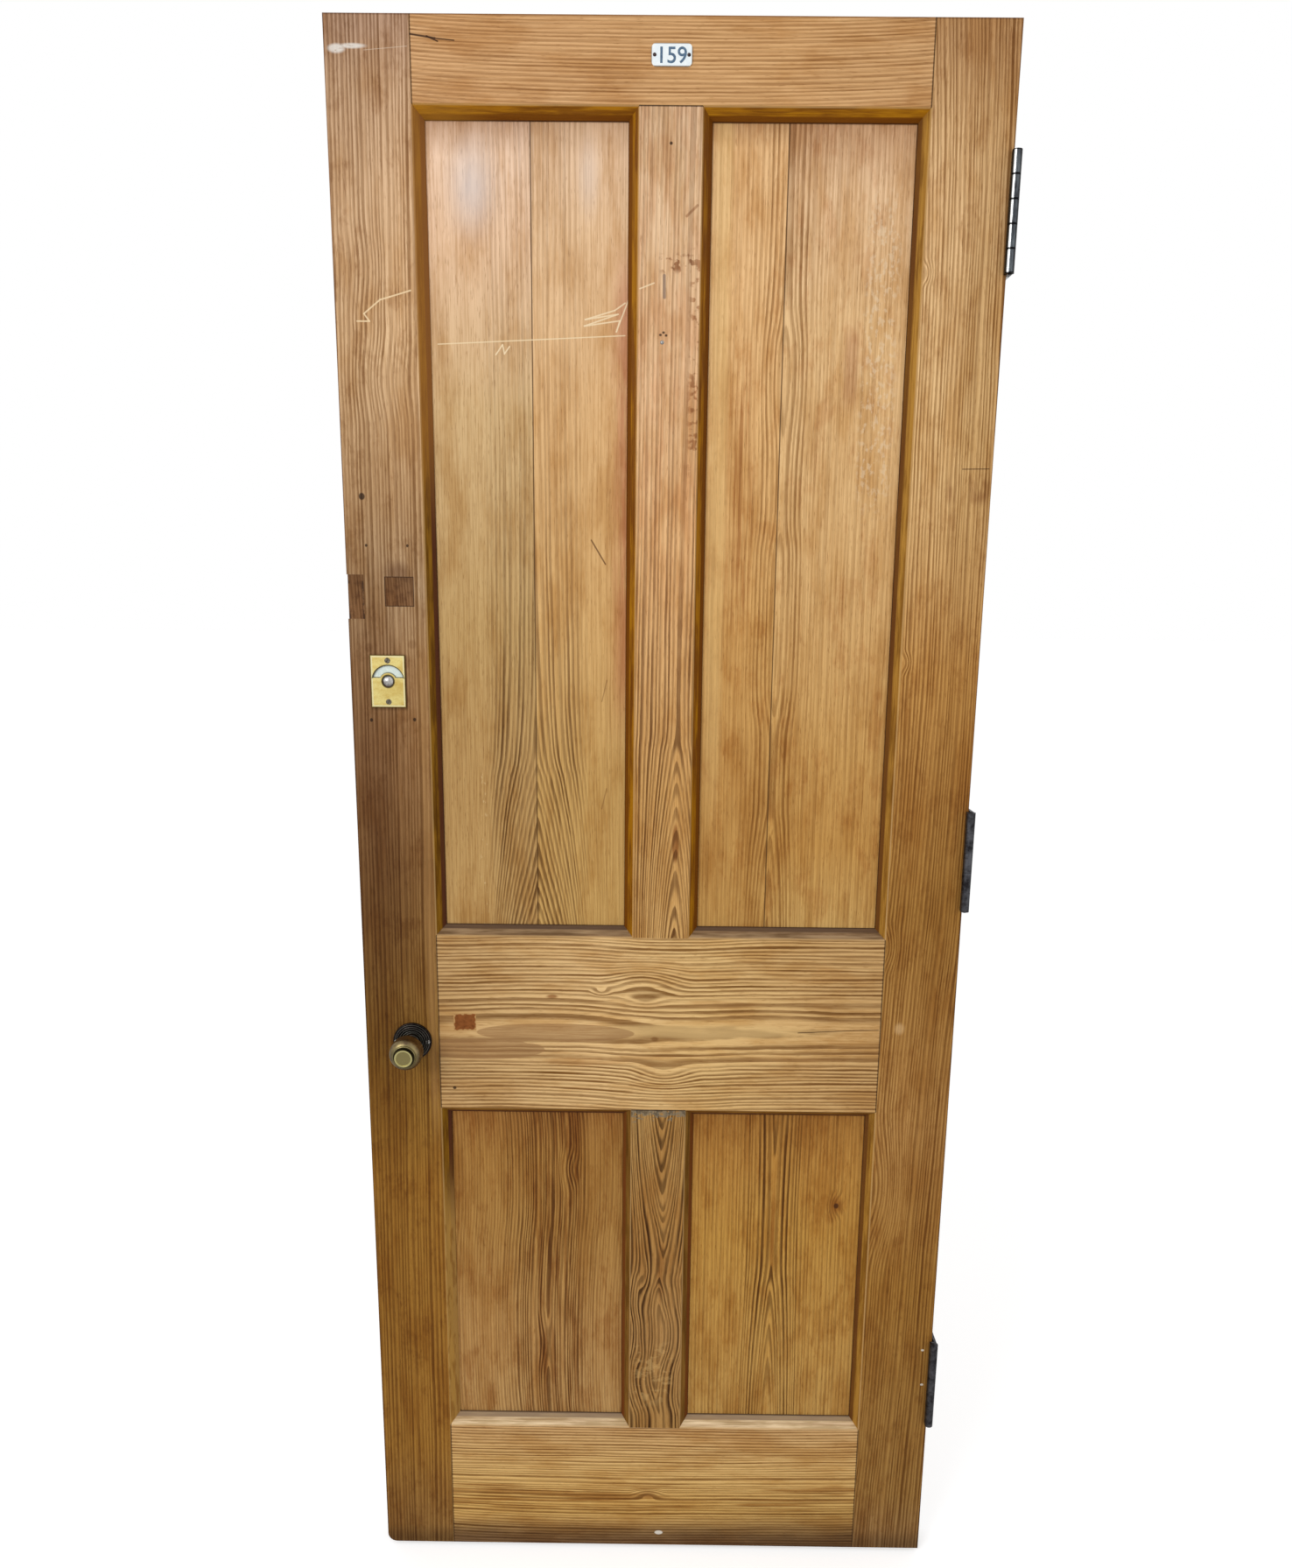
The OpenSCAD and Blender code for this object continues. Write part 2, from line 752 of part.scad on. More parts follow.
module muntin_nail() {
    color(bright_steel) into_front(-nail_left, nail_z) rotate_extrude() union() {
        intersection() {
            translate([0, -nail_head_r * 0.7]) circle(nail_head_r * 1.2);
            square([nail_head_r, nail_head_r]);
        }
        polygon([[0, -nail_l], [nail_r, 3 * nail_r - nail_l], [nail_r, nail_head_r / 4], [0, nail_head_r / 4]]);
    }
}

// Indicator plate, pierced by an arched window and by the hole for the release
plate_head_r = 3.5;
plate_shank_r = 1.7;
plate_screw_l = 16;

module indicator_screw_places() {
    for (side = [-1, 1])
        into_front(indicator_x, indicator_z + side * indicator_screw_at, front - indicator_t)
            children();
}

module indicator_plate() {
    color(brass) difference() {
        through(front - indicator_t, front) translate([indicator_x, indicator_z]) difference() {
            square([indicator_w, indicator_h], center = true);
            circle(release_r + release_gap);
            difference() {
                intersection() {
                    circle(window_r);
                    translate([-window_r, window_sill]) square([2 * window_r, window_r]);
                }
                circle(window_in_r);
            }
        }
        indicator_screw_places() screw_seat(plate_head_r, plate_shank_r, plate_screw_l);
    }
}

module indicator_plate_screws() {
    color(bright_steel) indicator_screw_places()
        wood_screw(plate_head_r, plate_shank_r, plate_screw_l, 70);
}

// The bed for the disc behind the plate, and the hole for the spindle
module disc_bed() {
    deep = disc_back + disc_t + slide_fit;
    translate([0, 0, -deep]) cylinder(r = disc_r + 2 * slide_fit, h = deep + over);
    translate([0, 0, -door_t - over]) cylinder(r = journal_r, h = door_t + over);
}

// A square prism along Y about the indicator's axis
module small_square(y0, y1, fit = 0) {
    half = small_spindle_w / 2 + fit;
    translate([indicator_x, 0, indicator_z]) block([-half, y0, -half], [half, y1, half]);
}

module indicator_disc() {
    color("#e4efe8") difference() {
        through(disc_y, disc_y + disc_t) translate([indicator_x, indicator_z]) circle(disc_r);
        small_square(disc_y - over, disc_y + disc_t + over, let_in_fit);
    }
}

// Domed release with a coin slot, on the front end of the spindle
release_proud = 1.6;
release_slot = 1.3;
release_socket = 2;
release_y = front - indicator_t - release_proud;

module indicator_release() {
    dome = release_r * 1.6;
    color(bright_steel) difference() {
        translate([indicator_x, disc_y, indicator_z]) rotate([90, 0, 0]) rotate_extrude()
            intersection() {
                square([release_r, disc_y - release_y]);
                translate([0, disc_y - release_y - dome]) circle(dome);
            }
        small_square(disc_y - release_socket, disc_y + over, let_in_fit);
        translate([indicator_x, release_y, indicator_z])
            cube([3 * release_r, 1.5 * release_slot, release_slot], center = true);
    }
}

// Square spindle from the release, through the disc, the leaf and the pinion, into the snib
snib_y0 = bolt_face_y + 0.4;
snib_base_t = 3;
snib_t = 11;
snib_socket = 8;

module indicator_spindle() {
    color(dark_metal) small_square(disc_y - release_socket, snib_y0 + snib_socket);
}

// Pinion with involute teeth, on a hub that turns in the backplate and the case
function involute(angle) = tan(angle) * 180 / PI - angle;
function half_tooth(r) = 90 / pinion_teeth - tooth_play / (2 * pitch_r) * 180 / PI
    + involute(pressure) - involute(acos(min(1, base_r / r)));
function polar(r, angle) = [r * cos(angle), r * sin(angle)];
flank = [for (i = [0:4]) base_r + (tooth_tip_r - base_r) * i / 4];

function tooth(middle) = concat(
    [polar(tooth_root_r, middle - half_tooth(base_r))],
    [for (r = flank) polar(r, middle - half_tooth(r))],
    [for (i = [4:-1:0]) polar(flank[i], middle + half_tooth(flank[i]))],
    [polar(tooth_root_r, middle + half_tooth(base_r))]
);

module bolt_pinion() {
    outline = [for (i = [0:pinion_teeth - 1]) each tooth(-90 + i * 360 / pinion_teeth)];
    color(brass) difference() {
        union() {
            through(bolt_y0 + slide_fit, bolt_y1 - slide_fit)
                translate([indicator_x, indicator_z]) polygon(outline);
            through(back + slide_fit, bolt_face_y + slide_fit)
                translate([indicator_x, indicator_z]) circle(journal_r);
        }
        small_square(back, bolt_face_y + over, let_in_fit);
    }
}

// Sliding bolt: a flat bar with the rack cut in its upper edge
module rack_gap(i) {
    mid = i * tooth_pitch;
    half = tooth_pitch / 4 + tooth_play / 2;
    slope = tan(pressure);
    polygon([
        [mid - half + dedendum * slope, rack_root],
        [mid - half - (addendum + over) * slope, rack_top + over],
        [mid + half + (addendum + over) * slope, rack_top + over],
        [mid + half - dedendum * slope, rack_root]
    ]);
}

module slide_bolt() {
    travel_teeth = ceil(bolt_throw / tooth_pitch);
    color(brass) through(bolt_y0, bolt_y1) translate([indicator_x, indicator_z]) difference() {
        translate([bolt_shy - indicator_backset, bolt_low]) square([
            indicator_backset - bolt_shy + bolt_case_tail - case_wall - bolt_end_gap,
            rack_top - bolt_low
        ]);
        for (i = [-2:travel_teeth + 2]) rack_gap(i);
    }
}

// Backplate with an ear above and below the case, for two screws each
case_head_r = 3.4;
case_shank_r = 1.7;
bolt_screw_l = 18;
bolt_screw_in = 8;

module bolt_screw_places() {
    for (x = [lock_edge + bolt_screw_in, bolt_tail_x - bolt_screw_in])
        for (z = [bolt_case_top + ear_h / 2, bolt_case_low - ear_h / 2])
            into_back(x, indicator_z + z, back + case_wall) children();
}

module bolt_backplate() {
    color(brass) difference() {
        block(
            [lock_edge, back, indicator_z + bolt_case_low - ear_h],
            [bolt_tail_x, back + case_wall, indicator_z + bolt_case_top + ear_h]
        );
        through(back - over, back + case_wall + over)
            translate([indicator_x, indicator_z]) circle(journal_r + run_fit);
        bolt_screw_places() screw_seat(case_head_r, case_shank_r, bolt_screw_l);
    }
}

module bolt_case() {
    y0 = back + case_wall;
    color(brass) difference() {
        block(
            [lock_edge, y0, indicator_z + bolt_case_low],
            [bolt_tail_x, bolt_face_y, indicator_z + bolt_case_top]
        );
        block(
            [lock_edge + case_wall, y0 - over, indicator_z + bolt_case_low + case_wall],
            [bolt_tail_x - case_wall, bolt_face_y - case_wall, indicator_z + bolt_case_top - case_wall]
        );
        block(
            [lock_edge - over, y0 - over, indicator_z + bolt_low - slide_fit],
            [lock_edge + case_wall + over, bolt_y1 + slide_fit, indicator_z + rack_top + slide_fit]
        );
        through(bolt_face_y - case_wall - over, bolt_face_y + over)
            translate([indicator_x, indicator_z]) circle(journal_r + run_fit);
    }
}

module bolt_case_screws() {
    color(brass) bolt_screw_places() wood_screw(case_head_r, case_shank_r, bolt_screw_l, 25);
}

// Tear-shaped snib that is turned from the inside
module bolt_snib() {
    base = 9;
    nose = 4;
    color(brass) difference() {
        union() {
            through(snib_y0, snib_y0 + snib_base_t)
                translate([indicator_x, indicator_z]) circle(base);
            through(snib_y0, snib_y0 + snib_t) translate([indicator_x, indicator_z]) union() {
                circle(base * 0.75);
                polygon([
                    [0, base * 0.75], [snib_l - nose, nose],
                    [snib_l - nose, -nose], [0, -base * 0.75]
                ]);
                translate([snib_l - nose, 0]) circle(nose);
            }
        }
        small_square(snib_y0 - over, snib_y0 + snib_socket, let_in_fit);
    }
}

// Rose: a flat ring with turned reeds, a collar and two screws
rose_head_r = 2.6;
rose_shank_r = 1.4;
rose_screw_l = 16;
rose_edge_r = 1;
reed_in = 5;
reed_pitch = 3;
collar_w = 2.6;
collar_t = 2.4;

module rose_screw_places() {
    for (side = [-1, 1])
        into_front(lock_x + side * rose_screw_at, knob_z, front - rose_t) children();
}

module rose() {
    bore_r = neck_r + run_fit;
    color(dark_metal) difference() {
        translate([lock_x, front, knob_z]) rotate([90, 0, 0]) rotate_extrude() union() {
            translate([bore_r, 0]) square([rose_r - bore_r - rose_edge_r, rose_t]);
            translate([bore_r, 0]) square([rose_r - bore_r, rose_t - rose_edge_r]);
            translate([rose_r - rose_edge_r, rose_t - rose_edge_r]) circle(rose_edge_r);
            translate([bore_r, 0]) square([collar_w, rose_t + collar_t]);
            for (i = [0:2]) translate([neck_r + reed_in + i * reed_pitch, rose_t]) circle(reed_r);
        }
        rose_screw_places() screw_seat(rose_head_r, rose_shank_r, rose_screw_l);
    }
}

module rose_screws() {
    color(bright_steel) rose_screw_places() wood_screw(rose_head_r, rose_shank_r, rose_screw_l, 15);
}

// Turned profile of a knob: neck, bulging body, bead, groove and dished end disc.
// Distances run along the axis from the end of the neck.
knob_back_r = 12;
knob_front_r = 9;
knob_belt_l = 10.5;
knob_flange_r = neck_r + 2.2;
knob_flange_t = 2.4;
knob_waist = 1.2;
bead_r = 1.5;
bead_out = 0.73 * knob_r;
end_disc_l = 5.6;
end_groove_w = 1.2;
end_dish_rim = 1.8;
end_dish_d = 0.8;
function knob_belt(neck) = neck + knob_back_r + knob_waist;
function knob_nose(neck) = knob_belt(neck) + knob_belt_l + knob_front_r;

module knob_profile(neck) {
    belt = knob_belt(neck);
    belt_end = belt + knob_belt_l;
    nose = knob_nose(neck);
    back_in = knob_r - knob_back_r;
    front_in = knob_r - knob_front_r;
    bead_in = bead_out - bead_r;
    square([neck_r, belt]);
    translate([0, neck]) square([knob_flange_r, knob_flange_t]);
    translate([0, belt - knob_back_r]) square([back_in, knob_back_r]);
    translate([back_in, belt]) circle(knob_back_r);
    translate([0, belt]) square([knob_r, knob_belt_l]);
    translate([0, belt_end]) square([front_in, knob_front_r]);
    translate([front_in, belt_end]) circle(knob_front_r);
    translate([0, nose - 2 * bead_r]) square([bead_in, 3 * bead_r]);
    translate([bead_in, nose]) circle(bead_r);
    translate([0, nose]) square([end_disc_r, end_disc_l]);
}

// The groove round the end disc, and the dish in its face
module knob_cuts(neck) {
    nose = knob_nose(neck);
    translate([end_disc_r, nose - end_groove_w / 3]) square([end_groove_w, 2.5 * end_groove_w]);
    translate([-over, nose + end_disc_l - end_dish_d])
        square([end_disc_r - end_dish_rim + over, end_dish_d + over]);
}

// A square prism along Y about the knob's axis
module big_square(y0, y1, fit = 0) {
    half = spindle_w / 2 + fit;
    translate([lock_x, 0, knob_z]) block([-half, y0, -half], [half, y1, half]);
}

neck_foot = 1.5;                             // how far the outer knob's neck stops short of the door
neck_in = rose_t - neck_foot;
outer_knob_y = front - rose_t + neck_in;
inner_knob_y = hub_end_y + slide_fit;
outer_neck_l = neck_in + collar_t + outer_neck;
socket_l = 16;
grub_r = 1.5;
grub_in = 4;                                 // from a collar to the middle of a grub screw
grub_sink = 0.4;
outer_grub_y = front - rose_t - collar_t - grub_in;
inner_grub_y = inner_knob_y + grub_in;
spindle_play = 0.5;

module turned_knob(neck) {
    rotate_extrude() difference() {
        intersection() {
            knob_profile(neck);
            square([knob_r + over, knob_nose(neck) + end_disc_l + over]);
        }
        knob_cuts(neck);
    }
}

module grub_hole(y) {
    translate([lock_x, y, knob_z - neck_r - over])
        cylinder(r = grub_r + let_in_fit, h = neck_r + over);
}

module knob_outside() {
    color(old_brass) difference() {
        translate([lock_x, outer_knob_y, knob_z]) rotate([90, 0, 0]) turned_knob(outer_neck_l);
        big_square(outer_knob_y - socket_l, outer_knob_y + over, let_in_fit);
        grub_hole(outer_grub_y);
    }
}

module knob_inside() {
    color(old_brass) difference() {
        translate([lock_x, inner_knob_y, knob_z]) rotate([-90, 0, 0]) turned_knob(inner_neck);
        big_square(inner_knob_y - over, inner_knob_y + socket_l, let_in_fit);
        grub_hole(inner_grub_y);
    }
}

module knob_spindle() {
    inset = socket_l - spindle_play;
    color(dark_metal) big_square(outer_knob_y - inset, inner_knob_y + inset);
}

module knob_grub_screws() {
    top = knob_z - spindle_w / 2;
    low = knob_z - neck_r + grub_sink;
    slot = 0.6;
    color(dark_metal) for (y = [outer_grub_y, inner_grub_y]) difference() {
        translate([lock_x, y, low]) cylinder(r = grub_r, h = top - low);
        translate([lock_x - grub_r - over, y - slot / 2, low - over])
            cube([2 * (grub_r + over), slot, slot + over]);
    }
}

// Follower: a hub on the spindle, with a horn above and a horn below
module latch_follower() {
    color(case_iron) difference() {
        union() {
            through(back + slide_fit, hub_end_y) translate([lock_x, knob_z]) circle(hub_r);
            translate([lock_x, 0, knob_z]) block(
                [-horn_w / 2, yoke_y0 - yoke_step, -horn_reach],
                [horn_w / 2, yoke_y0 + yoke_t + yoke_step, horn_reach]
            );
        }
        big_square(back, hub_end_y + over, let_in_fit);
    }
}

latch_y0 = back + case_wall + slide_fit;
latch_y1 = latch_face_y - case_wall - slide_fit;
yoke_y0 = (latch_y0 + latch_y1 - yoke_t) / 2;
yoke_room = 10.5;                            // lets the bolt draw back past the horns
yoke_left = -(horn_reach + yoke_room);
lug_x = horn_w / 2 + slide_fit;
yoke_right = hub_r + slide_fit;
yoke_top = yoke_half + yoke_rim;
shank_half = 5;

// Latch bolt: a bevelled head, a shank and a yoke round the follower
module latch_bolt() {
    head_in = 16;
    tip_t = 2.5;
    tip_x = lock_edge - latch_throw;
    head_end = lock_edge + head_in;
    color(brass) union() {
        upright(knob_z - latch_head_h / 2, knob_z + latch_head_h / 2) polygon([
            [tip_x, latch_y0], [tip_x, latch_y0 + tip_t], [lock_edge + case_wall, latch_y1],
            [head_end, latch_y1], [head_end, latch_y0]
        ]);
        block(
            [head_end - over, yoke_y0 - yoke_step, knob_z - shank_half],
            [lock_x + yoke_left, yoke_y0 + yoke_t + yoke_step, knob_z + shank_half]
        );
        through(yoke_y0, yoke_y0 + yoke_t) translate([lock_x, knob_z]) difference() {
            translate([yoke_left - yoke_rim, -yoke_top])
                square([yoke_right + 2 * yoke_rim - yoke_left, 2 * yoke_top]);
            difference() {
                translate([yoke_left, -yoke_half]) square([yoke_right - yoke_left, 2 * yoke_half]);
                for (side = [-1, 1]) translate([lug_x, side > 0 ? lug_foot : -yoke_half])
                    square([yoke_right, yoke_half - lug_foot]);
            }
        }
    }
}

// Bow spring between the yoke and the inner end of the case
module latch_spring() {
    free = 0.1;
    leaf = 0.8;
    touch = yoke_right + yoke_rim + free;
    sag = latch_case_tail - case_wall - free - touch;
    half_chord = yoke_half + 1;
    bow_r = (half_chord * half_chord + sag * sag) / (2 * sag);
    color(bright_steel) through(yoke_y0 - yoke_step, yoke_y0 + yoke_t + yoke_step)
        translate([lock_x, knob_z]) intersection() {
            translate([touch + bow_r, 0]) difference() {
                circle(bow_r);
                circle(bow_r - leaf);
            }
            translate([touch - over, -half_chord]) square([sag + over, 2 * half_chord]);
        }
}

latch_screw_in = 14;                         // how deep the latch's screws enter the wood
latch_screw_l = latch_case_d + latch_screw_in;

module latch_screw_places() {
    for (x = [lock_edge + post_in, latch_tail_x - post_in])
        for (z = [-1, 1])
            into_back(x, knob_z + z * (latch_case_h / 2 - post_in), latch_face_y) children();
}

module latch_backplate() {
    color(case_iron) difference() {
        block(
            [lock_edge, back, knob_z - latch_case_h / 2],
            [latch_tail_x, back + case_wall, knob_z + latch_case_h / 2]
        );
        through(back - over, back + case_wall + over)
            translate([lock_x, knob_z]) circle(hub_r + run_fit);
        latch_screw_places() screw_seat(case_head_r, case_shank_r, latch_screw_l);
    }
}

// Cast case, with corner posts for its screws, two guide ribs and a raised collar
module latch_case() {
    y0 = back + case_wall;
    z0 = knob_z - latch_case_h / 2;
    z1 = knob_z + latch_case_h / 2;
    rib_z = yoke_top + slide_fit;
    rib_half = 0.75;
    color(case_iron) difference() {
        union() {
            difference() {
                block([lock_edge, y0, z0], [latch_tail_x, latch_face_y, z1]);
                block(
                    [lock_edge + case_wall, y0 - over, z0 + case_wall],
                    [latch_tail_x - case_wall, latch_face_y - case_wall, z1 - case_wall]
                );
            }
            latch_screw_places() translate([0, 0, y0 - latch_face_y])
                cylinder(r = post_r, h = latch_face_y - y0 - case_wall / 2);
            for (side = [-1, 1]) translate([lock_x, 0, knob_z + side * (rib_z + rib_half)])
                block(
                    [yoke_left - yoke_rim, yoke_y0 - yoke_step, -rib_half],
                    [latch_case_tail - 2 * post_in, latch_face_y - case_wall / 2, rib_half]
                );
            through(latch_face_y - case_wall / 2, hub_end_y - slide_fit)
                translate([lock_x, knob_z]) circle(collar_r);
        }
        block(
            [lock_edge - over, latch_y0 - slide_fit - over, knob_z - latch_head_h / 2 - slide_fit],
            [lock_edge + case_wall + over, latch_y1 + slide_fit, knob_z + latch_head_h / 2 + slide_fit]
        );
        through(y0 - over, hub_end_y + over)
            translate([lock_x, knob_z]) circle(hub_r + run_fit);
        latch_screw_places() screw_seat(case_head_r, case_shank_r, latch_screw_l);
    }
}

module latch_case_screws() {
    color(dark_metal) latch_screw_places() wood_screw(case_head_r, case_shank_r, latch_screw_l, 60);
}

// One leaf of a butt hinge about its pin, on the side given, with every second knuckle
module hinge_leaf(side, first, hole_ease = 0) {
    x0 = side * leaf_gap / 2;
    x1 = side * (leaf_gap / 2 + leaf_t);
    z0 = -hinge_l / 2;
    difference() {
        union() {
            difference() {
                block([min(x0, x1), 0, z0], [max(x0, x1), hinge_reach, -z0]);
                for (i = [1 - first:2:knuckles - 1])
                    translate([0, 0, z0 + i * knuckle_l - knuckle_gap / 2])
                        cylinder(r = barrel_r + knuckle_relief, h = knuckle_l + knuckle_gap);
            }
            for (i = [first:2:knuckles - 1])
                translate([0, 0, z0 + i * knuckle_l + (i == 0 ? 0 : knuckle_gap / 2)])
                    cylinder(r = barrel_r, h = knuckle_l - knuckle_gap / (i == 0 || i == knuckles - 1 ? 2 : 1));
        }
        translate([0, 0, z0 - over]) cylinder(r = pin_r + run_fit, h = hinge_l + 2 * over);
        leaf_screw_places() translate([side * leaf_gap / 2, 0, 0]) rotate([0, -side * 90, 0])
            screw_seat(hinge_head_r, hinge_shank_r + hole_ease, leaf_t);
    }
}

// The four screw places of a leaf, out from the pin's axis
module leaf_screw_places() {
    for (z = [-1, 1]) {
        translate([0, hinge_screw_far, z * hinge_screw_outer / 2]) children();
        translate([0, hinge_screw_near, z * hinge_screw_inner / 2]) children();
    }
}

module at_hinge(z) {
    translate([hinge_x, hinge_y, z]) children();
}

module frame_leaf(z) {
    at_hinge(z) hinge_leaf(1, 0, frame_hole_ease);
}

module door_leaf(z) {
    at_hinge(z) hinge_leaf(-1, 1);
}

module hinge_screw_places(z) {
    for (side = [-1, 1]) {
        into_hinge_edge(hinge_y + hinge_screw_far, z + side * hinge_screw_outer / 2) children();
        into_hinge_edge(hinge_y + hinge_screw_near, z + side * hinge_screw_inner / 2) children();
    }
}

module hinge_screws(z) {
    hinge_screw_places(z) wood_screw(hinge_head_r, hinge_shank_r, hinge_screw_l, 50);
}

// Pin with a rounded tip standing on each end of the barrel
module hinge_pin(z) {
    cap_r = barrel_r - 0.6;
    dome_r = 1.3 * cap_r;
    at_hinge(z) union() {
        translate([0, 0, -hinge_l / 2]) cylinder(r = pin_r, h = hinge_l);
        for (side = [0, 1]) mirror([0, 0, side]) translate([0, 0, hinge_l / 2])
            rotate_extrude() intersection() {
                square([cap_r, pin_tip]);
                translate([0, pin_tip - dome_r]) circle(dome_r);
            }
    }
}

module hinge_bed(z) {
    half = hinge_l / 2 + let_in_fit;
    block(
        [hinge_edge - leaf_t, front - over, z - half],
        [hinge_edge + over, hinge_y + hinge_reach + let_in_fit, z + half]
    );
}

module hinge_top_frame_leaf() { color(bright_steel) frame_leaf(hinge_top_z); }
module hinge_top_door_leaf() { color(bright_steel) door_leaf(hinge_top_z); }
module hinge_top_pin() { color(bright_steel) hinge_pin(hinge_top_z); }
module hinge_top_screws() { color(bright_steel) hinge_screws(hinge_top_z); }
module hinge_middle_frame_leaf() { color(dark_metal) frame_leaf(hinge_middle_z); }
module hinge_middle_door_leaf() { color(dark_metal) door_leaf(hinge_middle_z); }
module hinge_middle_pin() { color(dark_metal) hinge_pin(hinge_middle_z); }
module hinge_middle_screws() { color(dark_metal) hinge_screws(hinge_middle_z); }
module hinge_bottom_frame_leaf() { color(dark_metal) frame_leaf(hinge_bottom_z); }
module hinge_bottom_door_leaf() { color(dark_metal) door_leaf(hinge_bottom_z); }
module hinge_bottom_pin() { color(dark_metal) hinge_pin(hinge_bottom_z); }
module hinge_bottom_screws() { color(dark_metal) hinge_screws(hinge_bottom_z); }

stile_lock();
stile_hinge();
rail_top();
rail_lock();
rail_bottom();
muntin_upper();
muntin_lower();
tenon_wedges();
panel_upper_left_outer();
panel_upper_left_inner();
panel_upper_right_inner();
panel_upper_right_outer();
panel_lower_left();
panel_lower_right();
patch_stile();
patch_edge();
filler_lock_rail();
number_plate();
number_plate_screws();
muntin_nail();
indicator_plate();
indicator_plate_screws();
indicator_disc();
indicator_release();
indicator_spindle();
bolt_pinion();
bolt_snib();
slide_bolt();
bolt_backplate();
bolt_case();
bolt_case_screws();
rose();
rose_screws();
knob_outside();
knob_inside();
knob_spindle();
knob_grub_screws();
latch_follower();
latch_bolt();
latch_spring();
latch_backplate();
latch_case();
latch_case_screws();
hinge_top_frame_leaf();
hinge_top_door_leaf();
hinge_top_pin();
hinge_top_screws();
hinge_middle_frame_leaf();
hinge_middle_door_leaf();
hinge_middle_pin();
hinge_middle_screws();
hinge_bottom_frame_leaf();
hinge_bottom_door_leaf();
hinge_bottom_pin();
hinge_bottom_screws();
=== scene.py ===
import math

import bpy
from mathutils import Matrix, Vector


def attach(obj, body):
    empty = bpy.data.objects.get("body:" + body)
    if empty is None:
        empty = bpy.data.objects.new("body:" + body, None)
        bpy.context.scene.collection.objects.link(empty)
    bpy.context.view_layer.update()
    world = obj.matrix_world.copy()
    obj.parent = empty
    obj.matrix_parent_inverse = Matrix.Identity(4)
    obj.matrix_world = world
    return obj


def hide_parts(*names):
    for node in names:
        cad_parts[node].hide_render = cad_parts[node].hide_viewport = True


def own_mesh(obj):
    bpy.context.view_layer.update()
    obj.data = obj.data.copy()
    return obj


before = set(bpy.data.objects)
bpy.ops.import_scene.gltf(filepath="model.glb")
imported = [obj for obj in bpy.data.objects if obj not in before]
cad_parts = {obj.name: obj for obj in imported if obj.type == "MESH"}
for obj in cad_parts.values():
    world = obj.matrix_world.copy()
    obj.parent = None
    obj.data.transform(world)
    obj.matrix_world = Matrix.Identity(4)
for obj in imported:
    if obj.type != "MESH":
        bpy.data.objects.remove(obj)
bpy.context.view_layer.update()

# The camera stands a step in front of the leaf, at head height, and looks a little down on it.
# Its wide lens makes the head of the leaf look broader than the foot.
stand = (-0.0124, -1.4487, 1.3533)
tilt, turn, roll = (math.radians(a) for a in (-12.251, -0.299, 0.566))
picture_width, raised_by = 1476, 60
ahead = Vector((math.sin(turn) * math.cos(tilt), math.cos(turn) * math.cos(tilt), math.sin(tilt)))
right = Vector((math.cos(turn), -math.sin(turn), 0))
above = right.cross(ahead)
across = right * math.cos(roll) + above * math.sin(roll)
upward = above * math.cos(roll) - right * math.sin(roll)
camera = bpy.data.objects.new("camera", bpy.data.cameras.new("camera"))
camera.data.sensor_fit = "HORIZONTAL"
camera.data.sensor_width = 36
camera.data.lens = 32.507
camera.data.shift_y = raised_by / picture_width
camera.data.clip_start = 0.01
bpy.context.scene.collection.objects.link(camera)
facing = Matrix((across, upward, -ahead)).transposed().to_4x4()
camera.matrix_world = Matrix.Translation(stand) @ facing
bpy.context.scene.camera = camera


